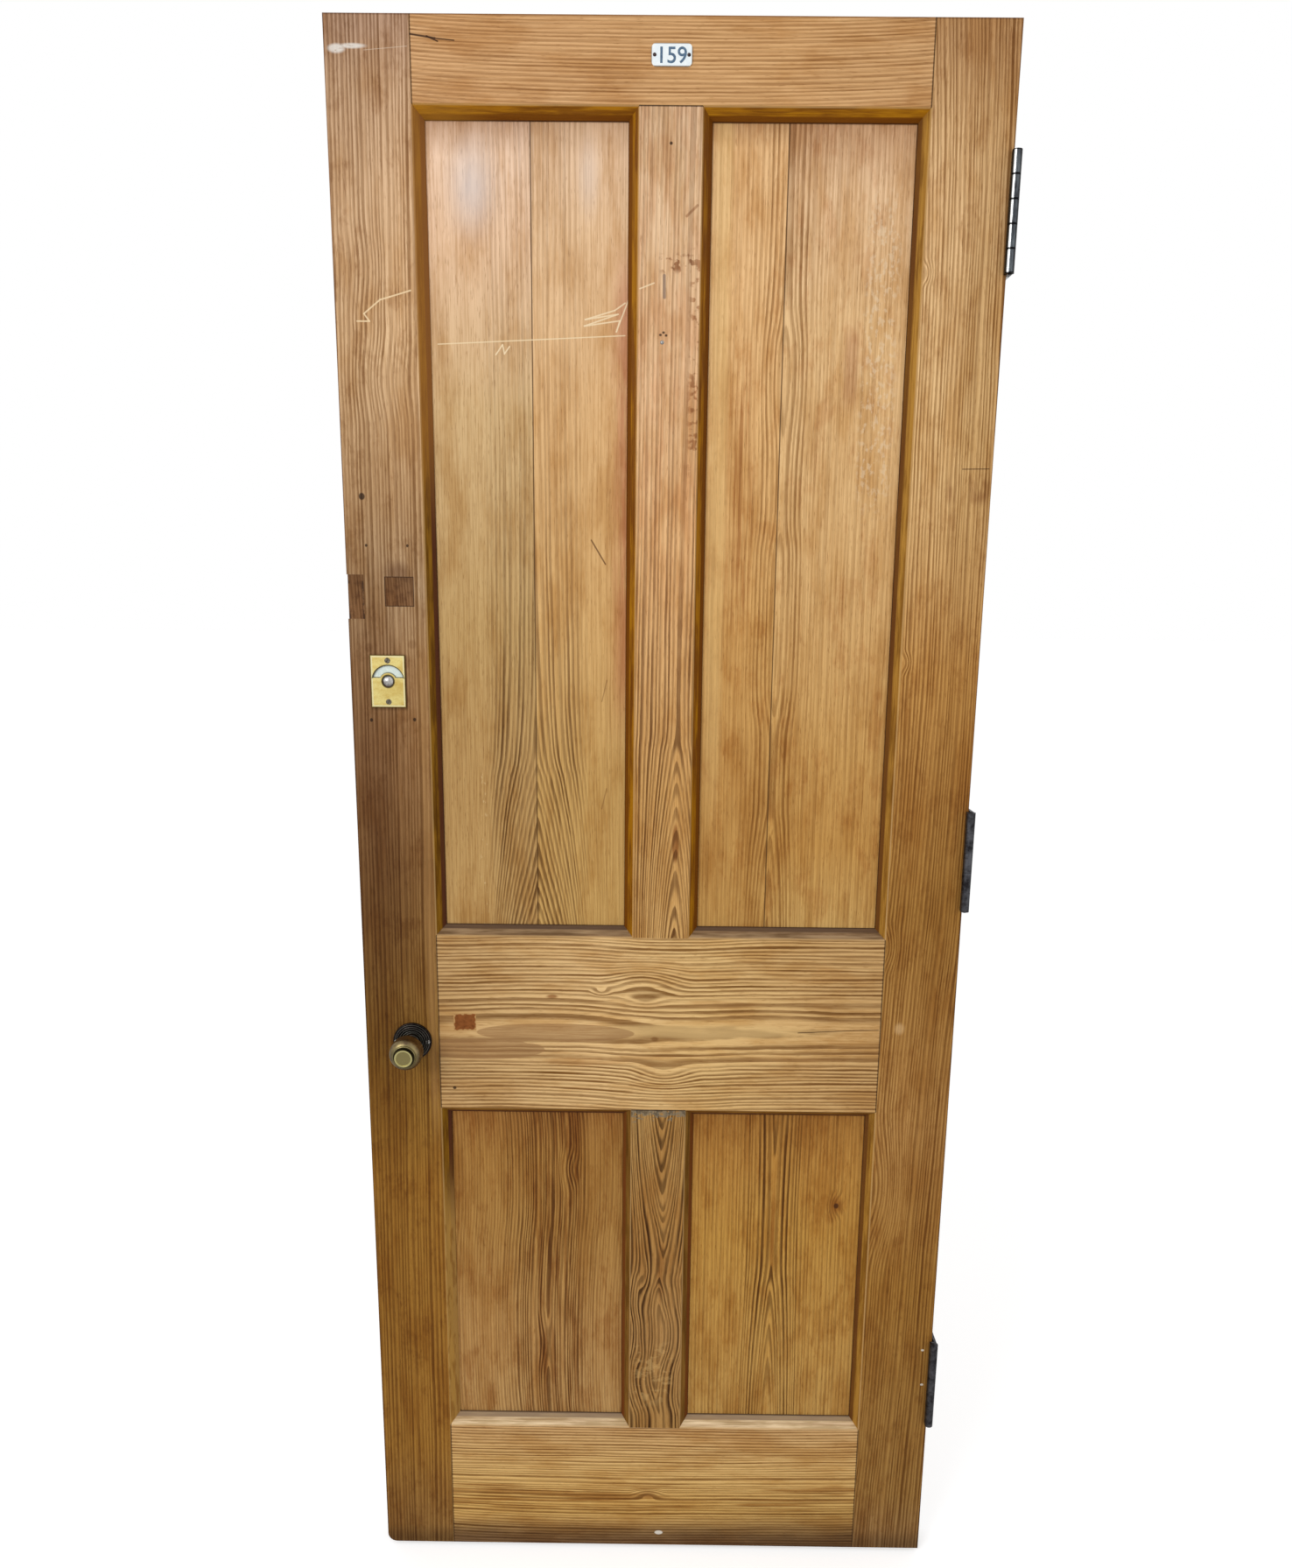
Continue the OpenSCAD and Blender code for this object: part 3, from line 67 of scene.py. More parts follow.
# The studio: a pale floor a few millimetres under the leaf, white all round, and light from a
# broad soft lamp on the upper left and a weaker one on the right.
class Wire:
    """A socket in a material's tree. Arithmetic on it adds Math nodes to the tree."""

    def __init__(self, tree, socket=None):
        self.tree = tree
        self.socket = socket

    def add(self, kind, settings, inputs, out=0):
        """Adds a node: its settings first, then its sockets by name or place. Gives one output."""
        made = self.tree.nodes.new(kind)
        for name, value in settings.items():
            if name == "stops":
                ramp = made.color_ramp.elements
                for place, colour in value[2:]:
                    ramp.new(place)
                for stop, (place, colour) in zip(ramp, sorted(value)):
                    stop.position = place
                    stop.color = colour
            elif name == "points":
                line = made.mapping.curves[0].points
                for place, height in value[2:]:
                    line.new(place, height)
                for point, (place, height) in zip(line, sorted(value)):
                    point.location = (place, height)
                made.mapping.update()
            else:
                setattr(made, name, value)
        for name, value in inputs.items():
            if isinstance(value, Wire):
                self.tree.links.new(value.socket, made.inputs[name])
            else:
                made.inputs[name].default_value = value
        return Wire(self.tree, made.outputs[out]) if out is not None else made

    def maths(self, operation, *values):
        return self.add("ShaderNodeMath", {"operation": operation}, dict(enumerate(values)))

    def __add__(self, other):
        return self.maths("ADD", self, other)

    def __sub__(self, other):
        return self.maths("SUBTRACT", self, other)

    def __rsub__(self, other):
        return self.maths("SUBTRACT", other, self)

    def __mul__(self, other):
        return self.maths("MULTIPLY", self, other)

    def __truediv__(self, other):
        return self.maths("DIVIDE", self, other)

    def __abs__(self):
        return self.maths("ABSOLUTE", self)

    __radd__ = __add__
    __rmul__ = __mul__

    def less(self, other):
        return self.maths("MINIMUM", self, other)

    def more(self, other):
        return self.maths("MAXIMUM", self, other)

    def rise(self, low, high):
        """0 below low, 1 above high, and a smooth step between. With low above high it falls."""
        return self.add("ShaderNodeMapRange", {"interpolation_type": "SMOOTHSTEP"},
                        {"Value": self, "From Min": low, "From Max": high})

    def within(self, low, high, soft):
        """1 from low to high, and 0 beyond them, with soft edges."""
        return self.rise(low - soft, low + soft) * self.rise(high + soft, high - soft)

    def vector(self, operation, *values, out=0):
        return self.add("ShaderNodeVectorMath", {"operation": operation},
                        dict(enumerate((self, *values))), out)

    def parts(self):
        split = self.add("ShaderNodeSeparateXYZ", {}, {0: self}, None)
        return [Wire(self.tree, s) for s in split.outputs]

    def noise(self, size, detail=2.0, rough=0.5, seed=0.0):
        """Smooth noise, 0 to 1, about a lump in each box of that size, on a vector in mm."""
        shrunk = self.vector("MULTIPLY_ADD", [1 / s for s in size], (seed, seed * 1.7, seed * 0.6))
        return self.add("ShaderNodeTexNoise", {}, {
            "Vector": shrunk, "Scale": 1.0, "Detail": detail, "Roughness": rough})

    def blend(self, other, share, way="MIX"):
        """This colour mixed with another, or multiplied or otherwise combined, by a share."""
        return self.add("ShaderNodeMix", {"data_type": "RGBA", "blend_type": way},
                        {0: share, 6: self, 7: other}, 2)


def tone(red, green, blue):
    """The linear colour of a screen colour of 0 to 255 a channel."""
    return (*(((c / 255 + 0.055) / 1.055) ** 2.4 for c in (red, green, blue)), 1.0)


def material(name):
    """A new material with an empty tree, and the wire that its expressions start from."""
    made = bpy.data.materials.new(name)
    made.use_nodes = True
    made.node_tree.nodes.clear()
    return made, Wire(made.node_tree)


floor_z = -0.006
floor_reach = 30
corners = [(side * floor_reach, end * floor_reach, floor_z)
           for side, end in ((-1, -1), (1, -1), (1, 1), (-1, 1))]
floor_mesh = bpy.data.meshes.new("floor")
floor_mesh.from_pydata(corners, [], [(0, 1, 2, 3)])
floor = bpy.data.objects.new("floor", floor_mesh)
bpy.context.scene.collection.objects.link(floor)
floor_paint, w = material("floor_paint")
seen = w.add("ShaderNodeLightPath", {}, {}, "Is Camera Ray")
matt = w.add("ShaderNodeBsdfDiffuse", {}, {"Color": (0.8, 0.8, 0.8, 1)})
lift = w.add("ShaderNodeEmission", {}, {"Color": (1, 1, 1, 1), "Strength": seen * 0.53})
both = w.add("ShaderNodeAddShader", {}, {0: matt, 1: lift})
w.add("ShaderNodeOutputMaterial", {}, {"Surface": both}, None)
floor_mesh.materials.append(floor_paint)

world = bpy.data.worlds.new("studio")
world.use_nodes = True
world.node_tree.nodes.clear()
w = Wire(world.node_tree)
rays = w.add("ShaderNodeLightPath", {}, {}, None)
camera_ray, glossy_ray, glass_ray = [Wire(world.node_tree, rays.outputs[n]) for n in
                                     ("Is Camera Ray", "Is Glossy Ray", "Is Transmission Ray")]
bright = camera_ray.more(glossy_ray).more(glass_ray)
sky = w.add("ShaderNodeBackground", {}, {"Color": (1, 1, 1, 1), "Strength": bright * 0.40 + 0.60})
w.add("ShaderNodeOutputWorld", {}, {"Surface": sky}, None)
bpy.context.scene.world = world

for lamp_name, place, aim, side, watts in (
        ("key_lamp", (-2.4, -3.4, 3.0), (0, 0, 1.1), 2.2, 72),
        ("fill_lamp", (3.0, -3.0, 1.4), (0, 0, 0.9), 2.6, 16)):
    lamp_data = bpy.data.lights.new(lamp_name, "AREA")
    lamp_data.shape = "DISK"
    lamp_data.size = side
    lamp_data.energy = watts
    lamp = bpy.data.objects.new(lamp_name, lamp_data)
    towards = (Vector(place) - Vector(aim)).to_track_quat("Z", "Y")
    lamp.matrix_world = Matrix.Translation(place) @ towards.to_matrix().to_4x4()
    bpy.context.scene.collection.objects.link(lamp)
bpy.context.scene.view_settings.view_transform = "Standard"


# The lock stile: a long straight-grained pine member, morticed for three rails. Its outer half is
# dark with years of hands about the knob and the bolt, and its foot is worn and dirty.
def surface(w, colour, rough, height=None, deep=0.0003, **fixed):
    """The Principled shader of a finish. The relief is a height of 0 to 1 times a depth in metres."""
    inputs = {"Base Color": colour, "Roughness": rough}
    inputs.update((name.replace("_", " "), value) for name, value in fixed.items())
    if height is not None:
        inputs["Normal"] = w.add("ShaderNodeBump", {}, {"Distance": deep, "Height": height})
    finished = w.add("ShaderNodeBsdfPrincipled", {}, inputs)
    w.add("ShaderNodeOutputMaterial", {}, {"Surface": finished}, None)


def dress(finish, *names):
    """Gives CAD nodes their material."""
    for name in names:
        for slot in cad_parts[name].material_slots:
            slot.material = finish


def millimetres(w):
    """The place on the object, as a vector in mm."""
    return w.add("ShaderNodeTexCoord", {}, {}, "Object").vector("MULTIPLY", (1000, 1000, 1000))


def mottle(value, low, first, high, second):
    """A colour that fades from the first to the second as the value goes from low to high."""
    ramp = [(low, tone(*first)), (high, tone(*second))]
    return value.add("ShaderNodeValToRGB", {"stops": ramp}, {0: value})


def course(value, stops):
    """A smooth line through the points (value, height)."""
    low, high = min(s[0] for s in stops), max(s[0] for s in stops)
    bottom, top = min(s[1] for s in stops), max(s[1] for s in stops)
    if top == bottom:
        return top
    points = [((s[0] - low) / (high - low), (s[1] - bottom) / (top - bottom)) for s in stops]
    return value.add("ShaderNodeFloatCurve", {"points": points},
                     {"Value": (value - low) / (high - low)}) * (top - bottom) + bottom


def shade(value, stops):
    """A colour that fades from stop to stop (value, red, green, blue)."""
    low, high = min(s[0] for s in stops), max(s[0] for s in stops)
    ramp = [((s[0] - low) / (high - low), tone(*s[1:])) for s in stops]
    return value.add("ShaderNodeValToRGB", {"stops": ramp}, {0: (value - low) / (high - low)})


class Board:
    """One pine board cut from a tree. heart is the line under which the tree's centre runs, as points
    (along, across, height) in mm, and deep is how far it lies behind the face. The rings are the whole
    steps of (sqrt(across^2 + depth^2) + height near the heart + sway + knolls) / ring. The height fades
    over the reach, two distances from the heart. A knoll is (across, along, its two radii, height).
    Each ring darkens to its late wood and ends sharply, and fine fibres run along the grain."""

    def __init__(self, name, along, heart, ring=4.8, deep=3.0, sway=3.0, ripple=1.0, knolls=(), seed=1.0,
                 face=-22.0, reach=(56, 4)):
        self.finish, self.w = material(name)
        self.p = millimetres(self.w)
        self.x, self.y, self.z = self.p.parts()
        lengthways, sideways = (self.z, self.x) if along == "z" else (self.x, self.z)

        def size(wide, long):
            return (wide, wide, long) if along == "z" else (long, wide, wide)

        self.size = size
        broad = self.p.noise(size(70, 420), 1.0, 0.5, seed) - 0.5
        fine = self.p.noise(size(12, 95), 3.0, 0.55, seed + 3) - 0.5
        aside = sideways - course(lengthways, [(h[0], h[1]) for h in heart]) + broad * (2 * sway)
        below = (self.y - face).more(0.0) + deep
        distance = aside.maths("SQRT", aside * aside + below * below) + fine * (2 * ripple)
        height = course(lengthways, [(h[0], h[2]) for h in heart])
        distance = distance + height * abs(aside).rise(*reach)
        for side, length, wide, long, lift in knolls:
            knoll = (side, length, wide, long) if along == "z" else (length, side, long, wide)
            distance = distance + self.spot(*knoll, 1.0, 0.0) * lift
        years = distance / ring
        uneven = years.add("ShaderNodeTexNoise", {"noise_dimensions": "1D"},
                           {"W": years * 0.31 + seed, "Scale": 1.0, "Detail": 1.0})
        years = years + (uneven - 0.5) * 1.3
        season = years.maths("FRACT", years)
        each_year = years.add("ShaderNodeTexWhiteNoise", {"noise_dimensions": "1D"},
                              {"W": years.maths("FLOOR", years)})
        ink = self.p.noise(size(8, 130), 2.0, 0.6, seed + 11).rise(0.25, 0.62)
        late = season.rise(0.22, 0.64) * season.rise(1.0, 0.90)
        self.late = late * (each_year * 0.45 + 0.55) * (ink * 0.5 + 0.5)
        self.fibre = self.p.noise(size(1.4, 80), 3.0, 0.65, seed + 5)
        self.pores = self.p.noise(size(1.0, 13), 1.0, 0.5, seed + 7).rise(0.62, 0.74)
        self.cloud = self.p.noise(size(34, 110), 4.0, 0.62, seed + 9)
        self.front = self.y.rise(face + 2.0, face + 0.5)

    def spot(self, x, z, rx, rz, edge, core):
        """An oval on the face: 1 inside the share core of its radii, 0 outside the share edge."""
        near = self.p.vector("MULTIPLY_ADD", (1 / rx, 0, 1 / rz), (-x / rx, 0, -z / rz))
        return near.vector("LENGTH", out=1).rise(edge, core)

    def line(self, x0, z0, x1, z1, width):
        """A straight mark between two points of the face, with round ends."""
        length = math.hypot(x1 - x0, z1 - z0)
        ux, uz = (x1 - x0) / length, (z1 - z0) / length
        from_middle = self.p.vector("SUBTRACT", ((x0 + x1) / 2, 0, (z0 + z1) / 2))
        u = (abs(from_middle.vector("DOT_PRODUCT", (ux, 0, uz), out=1)) - length / 2).more(0.0)
        v = from_middle.vector("DOT_PRODUCT", (-uz, 0, ux), out=1)
        return u.maths("SQRT", u * u + v * v).rise(width / 2, width / 5)

    def stroke(self, points, width, share, *colour):
        """A mark of even width through points (x, z) of the front, in straight lengths."""
        for (x0, z0), (x1, z1) in zip(points, points[1:]):
            self.cover(self.front * self.line(x0, z0, x1, z1, width) * share, *colour)

    def start(self, colour, strength=1.0, tint=(0.33, 0.22, 0.10)):
        """The clean wood: its mean colour made lighter, then darkened by late wood, fibres and pores."""
        self.colour = colour.blend((1.22, 1.225, 1.27, 1), 1.0, "MULTIPLY")
        self.darken(self.late * strength, tint)
        self.darken(self.fibre.rise(0.40, 0.66) * 0.50, (0.60, 0.48, 0.33))
        self.darken(self.pores * 0.5, (0.52, 0.40, 0.28))
        self.darken(self.cloud.rise(0.42, 0.68) * 0.75, (0.76, 0.64, 0.48))

    def darken(self, share, tint):
        """Multiplies the colour by a tint where the share is 1."""
        self.colour = self.colour.blend((*tint, 1), share, "MULTIPLY")

    def cover(self, share, *colour):
        """Lays another colour over the wood where the share is 1."""
        self.colour = self.colour.blend(tone(*colour), share)

    def done(self, *names):
        """Ends the material: the late wood stands a little proud and is glossier."""
        height = self.late * 0.45 + self.fibre * 0.5 - self.pores * 0.3
        rough = self.cloud * 0.14 - self.late * 0.08 + 0.46
        surface(self.w, self.colour, rough, height, 0.00022, Specular_IOR_Level=0.09)
        dress(self.finish, *names)


def splay(board, share, dark, light, foot=(82, 42, 28)):
    """The splayed edge of a member: old varnish in dark and light patches, a pale line along its arris that
    is partly wear and partly a painted highlight, and dirt at its foot.
    """
    from_middle = abs(board.y)
    arris_wear_and_highlight = from_middle.rise(19.8, 21.2)
    lower_half = from_middle.rise(13.8, 12.2)
    against_panel = from_middle.rise(8.6, 7.8)
    patch = board.p.noise(board.size(8, 70), 3.0, 0.62, 21)
    board.colour = board.colour.blend(mottle(patch, 0.40, dark, 0.60, light), share * 0.97)
    streak = board.p.noise(board.size(1.8, 160), 2.0, 0.6, 23)
    board.darken(share * streak.rise(0.42, 0.66) * 0.55, (0.52, 0.40, 0.34))
    # The pale line along the arris: wear, and a painted highlight where the edge would catch the light.
    board.cover(share * arris_wear_and_highlight * (streak * 0.6 + 0.3), 214, 174, 118)
    board.cover(share * lower_half * (patch.rise(0.25, 0.6) * 0.45 + 0.5), *foot)
    board.cover(share * against_panel * 0.7, 44, 24, 16)


def painted_edge_shade(board):
    """A dark line painted along the leaf's two sides and its top: painted shade at its outer edge."""
    share = abs(board.x).rise(379.2, 380.4).more(board.z.rise(1953.8, 1955.2))
    board.darken(board.front * share * 0.8, (0.46, 0.38, 0.34))


# b is the board in hand from here on, and its x, y and z are places on the object in mm.
b = Board("pine_lock_stile", "z", [(0, -520, 0), (1956, -500, 0)], ring=4.8, sway=4, ripple=1.1,
          knolls=[(-330, 1580, 60, 60, 6), (-350, 1700, 40, 60, -4)], seed=2.1)
# Lighter towards the top: partly the wood's own tone, partly painted light falling from above.
b.start(shade(b.z, [(0, 144, 108, 60), (160, 156, 112, 46), (560, 152, 108, 42), (740, 138, 102, 44),
                    (1000, 136, 100, 58), (1150, 156, 119, 78), (1250, 168, 132, 90), (1340, 176, 146, 110),
                    (1450, 182, 146, 104), (1620, 218, 182, 138), (1780, 214, 178, 138),
                    (1956, 190, 156, 124)]), 0.85)
grip = b.p.noise((26, 26, 60), 3.0, 0.62, 4)
outer = b.x.rise(-300, -352)
handled = b.z.within(820, 1300, 120) * (outer * 0.8 + 0.2)
b.darken(b.front * handled * (grip * 0.8 + 0.4), (0.60, 0.53, 0.52))
b.darken(b.front * b.z.within(620, 830, 60) * outer * (grip * 0.9 + 0.2), (0.78, 0.70, 0.54))
b.darken(b.front * outer * 0.5, (0.80, 0.78, 0.76))
dull = b.p.noise((24, 24, 44), 4.0, 0.68, 41)
b.darken(b.front * dull.rise(0.52, 0.66) * 0.6, (0.70, 0.60, 0.50))
b.cover(b.front * b.x.within(-299, -289, 4) * b.z.within(660, 1270, 60) * 0.35, 182, 138, 84)
b.darken(b.z.rise(34, 6) * (grip * 0.8 + 0.5), (0.56, 0.54, 0.54))
b.darken(b.z.rise(1880, 1950) * 0.6, (0.78, 0.74, 0.80))
edge = b.x.rise(-287.6, -286.6)
# This splay's tones are darker than the hinge stile's: painted shade, as it faces away from the key lamp.
splay(b, edge, (104, 66, 2), (150, 106, 22))
b.cover(edge * b.z.rise(610, 480) * 0.7, 196, 152, 80)
grease = b.p.noise((7, 7, 45), 3.0, 0.62, 29).rise(0.50, 0.62)
b.darken(edge * grease * b.z.rise(680, 560) * 0.7, (0.62, 0.50, 0.38))
b.cover(edge * b.z.rise(1380, 1560) * 0.5, 182, 122, 58)
b.darken(b.front * b.spot(-320, 1362, 24, 20, 1.0, 0.2) * 0.8, (0.50, 0.42, 0.40))
for plug_x, plug_z in ((-358, 1274), (-305, 1278)):
    b.darken(b.front * b.spot(plug_x, plug_z, 7, 7, 1.0, 0.5) * 0.5, (0.60, 0.50, 0.42))
round_plate = abs(b.x + 335.5).rise(25, 20) * abs(b.z - 1232).rise(36, 31)
b.darken(b.front * round_plate * 0.6, (0.40, 0.34, 0.30))
for hole_x, hole_z, hole_r in ((-358, 1186, 1.9), (-305, 1187, 1.9), (-356, 1394, 1.5), (-307, 1394, 1.5),
                               (-359, 1450, 3.4)):
    b.cover(b.front * b.spot(hole_x, hole_z, hole_r, hole_r * 1.15, 1.25, 0.8) * 0.85, 38, 24, 16)
scratch = [(-356, 1643), (-342, 1643), (-348, 1651), (-329, 1666), (-318, 1669), (-294, 1676)]
b.stroke(scratch, 2.4, 0.8, 246, 218, 174)
smudge = b.spot(-367, 1921.5, 11, 5.5, 1.1, 0.5).more(b.spot(-350, 1924, 18, 3.2, 1.1, 0.4))
smudge = smudge * b.p.noise((9, 9, 5), 3.0, 0.6, 6).rise(0.26, 0.46)
b.cover(b.front * smudge * 0.85, 232, 224, 214)
b.stroke([(-337, 1920), (-290, 1924)], 1.0, 0.4, 230, 212, 190)
painted_edge_shade(b)
b.done("stile_lock")


# The hinge stile, which carries three butt hinges let into its edge. Its grain is wavier, with
# knots' swirls beside the panels, and its edge is chipped beside the hinges.
b = Board("pine_hinge_stile", "z", [(0, 420, 0), (700, 440, 0), (1300, 455, 0), (1956, 440, 0)],
          ring=4.4, sway=7, ripple=1.5, seed=7.4,
          knolls=[(290, 900, 22, 40, 9), (300, 560, 44, 130, 17), (292, 1699, 12, 18, 6),
                  (292, 1262, 12, 18, 6)])
# Lighter towards the top: partly the wood's own tone, partly painted light falling from above.
b.start(shade(b.z, [(0, 150, 116, 74), (90, 156, 118, 62), (420, 160, 116, 52), (650, 176, 132, 74),
                    (950, 162, 118, 56), (1250, 188, 140, 76), (1500, 224, 186, 130), (1775, 222, 184, 134),
                    (1956, 196, 156, 106)]), 0.88)
wear = b.p.noise((24, 24, 70), 3.0, 0.6, 14)
handled = course(b.z, [(0, 0.35), (700, 0.6), (1300, 0.62), (1550, 0.9), (1760, 0.75), (1940, 0.0)])
b.darken(b.front * b.x.rise(318, 352) * handled, (0.80, 0.76, 0.68))
dull = b.p.noise((24, 24, 50), 4.0, 0.68, 43)
b.darken(b.front * dull.rise(0.52, 0.66) * 0.5, (0.70, 0.58, 0.46))
b.darken(b.z.rise(36, 6) * (wear * 0.8 + 0.5), (0.54, 0.52, 0.52))
b.darken(b.z.rise(1840, 1940) * 0.7, (0.80, 0.74, 0.74))
# This splay's tones are lighter than the lock stile's: painted light, as it faces the key lamp.
splay(b, b.x.rise(287.6, 286.6), (138, 94, 30), (180, 132, 54), (98, 56, 22))
b.cover(b.front * b.spot(311, 792, 8, 10, 1.1, 0.3) * 0.42, 226, 188, 136)
b.stroke([(346, 1487), (377, 1487.6)], 1.4, 0.85, 60, 34, 20)
under_crack = b.x.within(330, 378, 6) * b.z.within(1450, 1478, 8) * wear.rise(0.45, 0.62)
b.darken(b.front * under_crack * 0.8, (0.50, 0.36, 0.28))
chipped = b.p.noise((3, 3, 6), 3.0, 0.6, 26).rise(0.46, 0.56)
for hinge_z in (1761, 1016, 272):
    beside = b.x.rise(377.6, 379.4) * abs(b.z - hinge_z).within(48, 57, 2)
    b.cover(beside * chipped * 0.8, 226, 196, 150)
for fleck_x, fleck_z in ((369, 322), (371, 268)):
    b.cover(b.front * b.spot(fleck_x, fleck_z, 2.4, 1.8, 1.1, 0.7) * 0.8, 228, 220, 204)
painted_edge_shade(b)
b.done("stile_hinge")


# The top rail: one length of pine with level grain, tenoned through both stiles. A crack runs in
# from its left shoulder.
def shoulders(board):
    """The dirty line down each shoulder of a rail, and the dark end grain of its tenons."""
    board.cover(abs(board.x).within(285.6, 289, 0.5) * 0.85, 50, 30, 18)
    board.darken(abs(board.x).rise(379, 380.4) * (board.fibre * 0.4 + 0.4), (0.62, 0.52, 0.42))


b = Board("pine_top_rail", "x", [(-381, 2060, 0), (0, 2040, 0), (381, 2070, 0)],
          ring=4.2, sway=4, ripple=1.1, seed=11.2)
b.start(shade(b.x, [(-381, 204, 160, 112), (-100, 206, 162, 112), (120, 208, 164, 112),
                    (381, 198, 156, 108)]), 0.72)
edge = b.z.rise(1868.6, 1867.6)
splay(b, edge, (138, 84, 0), (188, 128, 12), (112, 60, 2))
b.cover(edge * b.x.rise(-180, -270) * 0.35, 196, 140, 48)
for ends, wide in (([(-287, 1936), (-259, 1932)], 2.8), ([(-259, 1932), (-238, 1930)], 1.8),
                   ([(-268, 1934), (-256, 1929)], 2.2)):
    b.stroke(ends, wide, 0.9, 52, 30, 18)
shoulders(b)
painted_edge_shade(b)
b.done("rail_top")


# The lock rail, the broad one at the height of the knob. It was cut near the outside of the tree, so
# its rings make long level loops round two brown flames, with a hump and a dip at the muntins.
b = Board("pine_lock_rail", "x",
          [(-381, 786, 2), (-285, 786, 1), (-165, 788, 0), (-45, 784, 2), (20, 782, 4), (120, 785, 5),
           (381, 786, 6)], ring=4.6, deep=36, sway=4.5, ripple=1.7, seed=4.3,
          knolls=[(856, -18, 34, 66, -11), (722, 6, 30, 56, -9), (838, -76, 10, 18, 5),
                  (826, -20, 16, 40, 5)])
b.start(shade(b.x, [(-381, 182, 142, 90), (-285, 194, 158, 106), (-80, 220, 184, 128), (60, 218, 182, 122),
                    (200, 202, 164, 108), (381, 188, 150, 98)]), 1.0, (0.25, 0.16, 0.07))
flow = b.p.noise((90, 30, 9), 2.0, 0.5, 3)
flame = b.spot(-135, 781, 104, 13, 1.04, 0.92).more(b.spot(-232, 758, 84, 15, 1.04, 0.92))
flame = (flame * b.spot(-148, 768, 30, 3, 0.7, 1.2)).rise(0.3, 0.6)
b.cover(b.front * b.spot(66, 785, 170, 12, 1.1, 0.5) * (b.fibre * 0.4 + 0.4), 222, 186, 126)
b.cover(b.front * flame * (b.fibre * 0.6 + 0.36), 156, 116, 74)
ridge = b.spot(58, 822, 92, 6, 1.1, 0.7).more(b.spot(90, 748, 180, 5, 1.1, 0.6))
ridge = ridge.more(b.spot(-95, 742, 70, 6, 1.1, 0.6))
b.darken(b.front * ridge * flow.rise(0.34, 0.54) * 0.5, (0.68, 0.54, 0.40))
b.darken(b.front * b.spot(-6, 774, 6, 4, 1.1, 0.4) * 0.7, (0.50, 0.36, 0.26))
b.darken(b.front * b.spot(-139, 831, 9, 3.5, 1.1, 0.4) * 0.8, (0.42, 0.26, 0.16))
splay(b, b.z.rise(910.4, 911.4), (120, 94, 66), (166, 138, 104), (92, 70, 54))
splay(b, b.z.rise(675.6, 674.6), (110, 66, 10), (150, 104, 36))
b.stroke([(180, 785), (252, 789), (284, 790)], 1.5, 0.85, 58, 34, 20)
b.cover(b.front * b.spot(-268, 703, 2.2, 2.0, 1.3, 0.8) * 0.85, 42, 26, 18)
shoulders(b)
b.done("rail_lock")


# The bottom rail: a broad yellow-brown board, tenoned through both stiles. Dirt from the floor lies
# along its lower edge, and its splay is pale with dust.
b = Board("pine_bottom_rail", "x", [(-381, 238, 0), (0, 226, 0), (381, 240, 0)],
          ring=4.6, deep=10, sway=5, ripple=1.4, knolls=[(85, -8, 14, 30, 9)], seed=5.9)
b.start(shade(b.z, [(0, 170, 134, 90), (60, 212, 172, 100), (130, 214, 176, 112), (205, 204, 164, 112)]),
        0.95, (0.27, 0.18, 0.09))
dirt_and_painted_shade = b.p.noise((50, 50, 14), 4.0, 0.62, 8)
b.darken(b.z.rise(48, 8) * (dirt_and_painted_shade * 1.1 + 0.5), (0.44, 0.41, 0.42))
stain = b.p.noise((160, 30, 6), 2, 0.5, 5).rise(0.48, 0.60)
b.darken(b.front * b.z.within(58, 102, 10) * stain * 0.8, (0.56, 0.42, 0.28))
b.darken(b.z.rise(110, 40) * b.x.rise(-60, 240) * 0.9, (0.76, 0.74, 0.72))
b.darken(b.front * b.spot(-8, 85, 20, 9, 1.0, 0.2) * 0.55, (0.50, 0.34, 0.24))
splay(b, b.z.rise(192.4, 193.4), (206, 178, 134), (250, 224, 182), (148, 124, 98))
b.cover(b.front * b.spot(8, 20.5, 6, 3.4, 1.1, 0.8) * 0.9, 232, 226, 214)
shoulders(b)
b.done("rail_bottom")


# The two muntins, the upright members between the panels, with stub tenons in the rails. The upper
# one shows nested arches where the rings were cut on the slant, the lower one a V over long ovals.
b = Board("pine_upper_muntin", "z",
          [(881, 17, -46), (975, 17, -32), (1020, 17, -25), (1075, 17, -15), (1110, 17, -9), (1150, 17, -3),
           (1175, 18, 0), (1300, 19, 0), (1898, 26, 0)],
          ring=5.0, deep=3.5, sway=2.0, ripple=1.5, seed=9.7)
# Lighter towards the top: partly the wood's own tone, partly painted light falling from above.
b.start(shade(b.z, [(881, 200, 158, 97), (1100, 198, 152, 90), (1400, 222, 176, 122), (1600, 226, 186, 142),
                    (1780, 226, 192, 152), (1898, 208, 174, 138)]),
        b.z.rise(1600, 1150) * 0.52 + 0.42, (0.17, 0.10, 0.05))
b.darken(b.front * b.spot(17, 1035, 5, 30, 1.0, 0.6) * 0.85, (0.46, 0.31, 0.22))
blotch = b.p.noise((9, 9, 7), 2.0, 0.5, 3).rise(0.50, 0.62)
ruddy = b.p.noise((14, 14, 60), 3.0, 0.6, 27).rise(0.42, 0.62)
b.darken(b.front * ruddy * b.z.rise(1180, 1500) * 0.5, (0.84, 0.68, 0.58))
b.darken(b.front * b.x.within(-10, 27, 4) * b.z.within(1698, 1716, 4) * blotch * 0.95, (0.44, 0.30, 0.22))
b.darken(b.front * b.line(19, 1756, 31, 1767, 4.0) * 0.7, (0.50, 0.36, 0.28))
b.darken(b.front * b.x.rise(20, 30) * b.z.within(1480, 1720, 20) * blotch * 0.8, (0.50, 0.34, 0.24))
splay(b, abs(b.x).rise(34.6, 35.6), (122, 70, 0), (168, 112, 4), (108, 58, 4))
b.stroke([(-5, 1671), (-5.4, 1694)], 5.0, 0.7, 116, 98, 92)
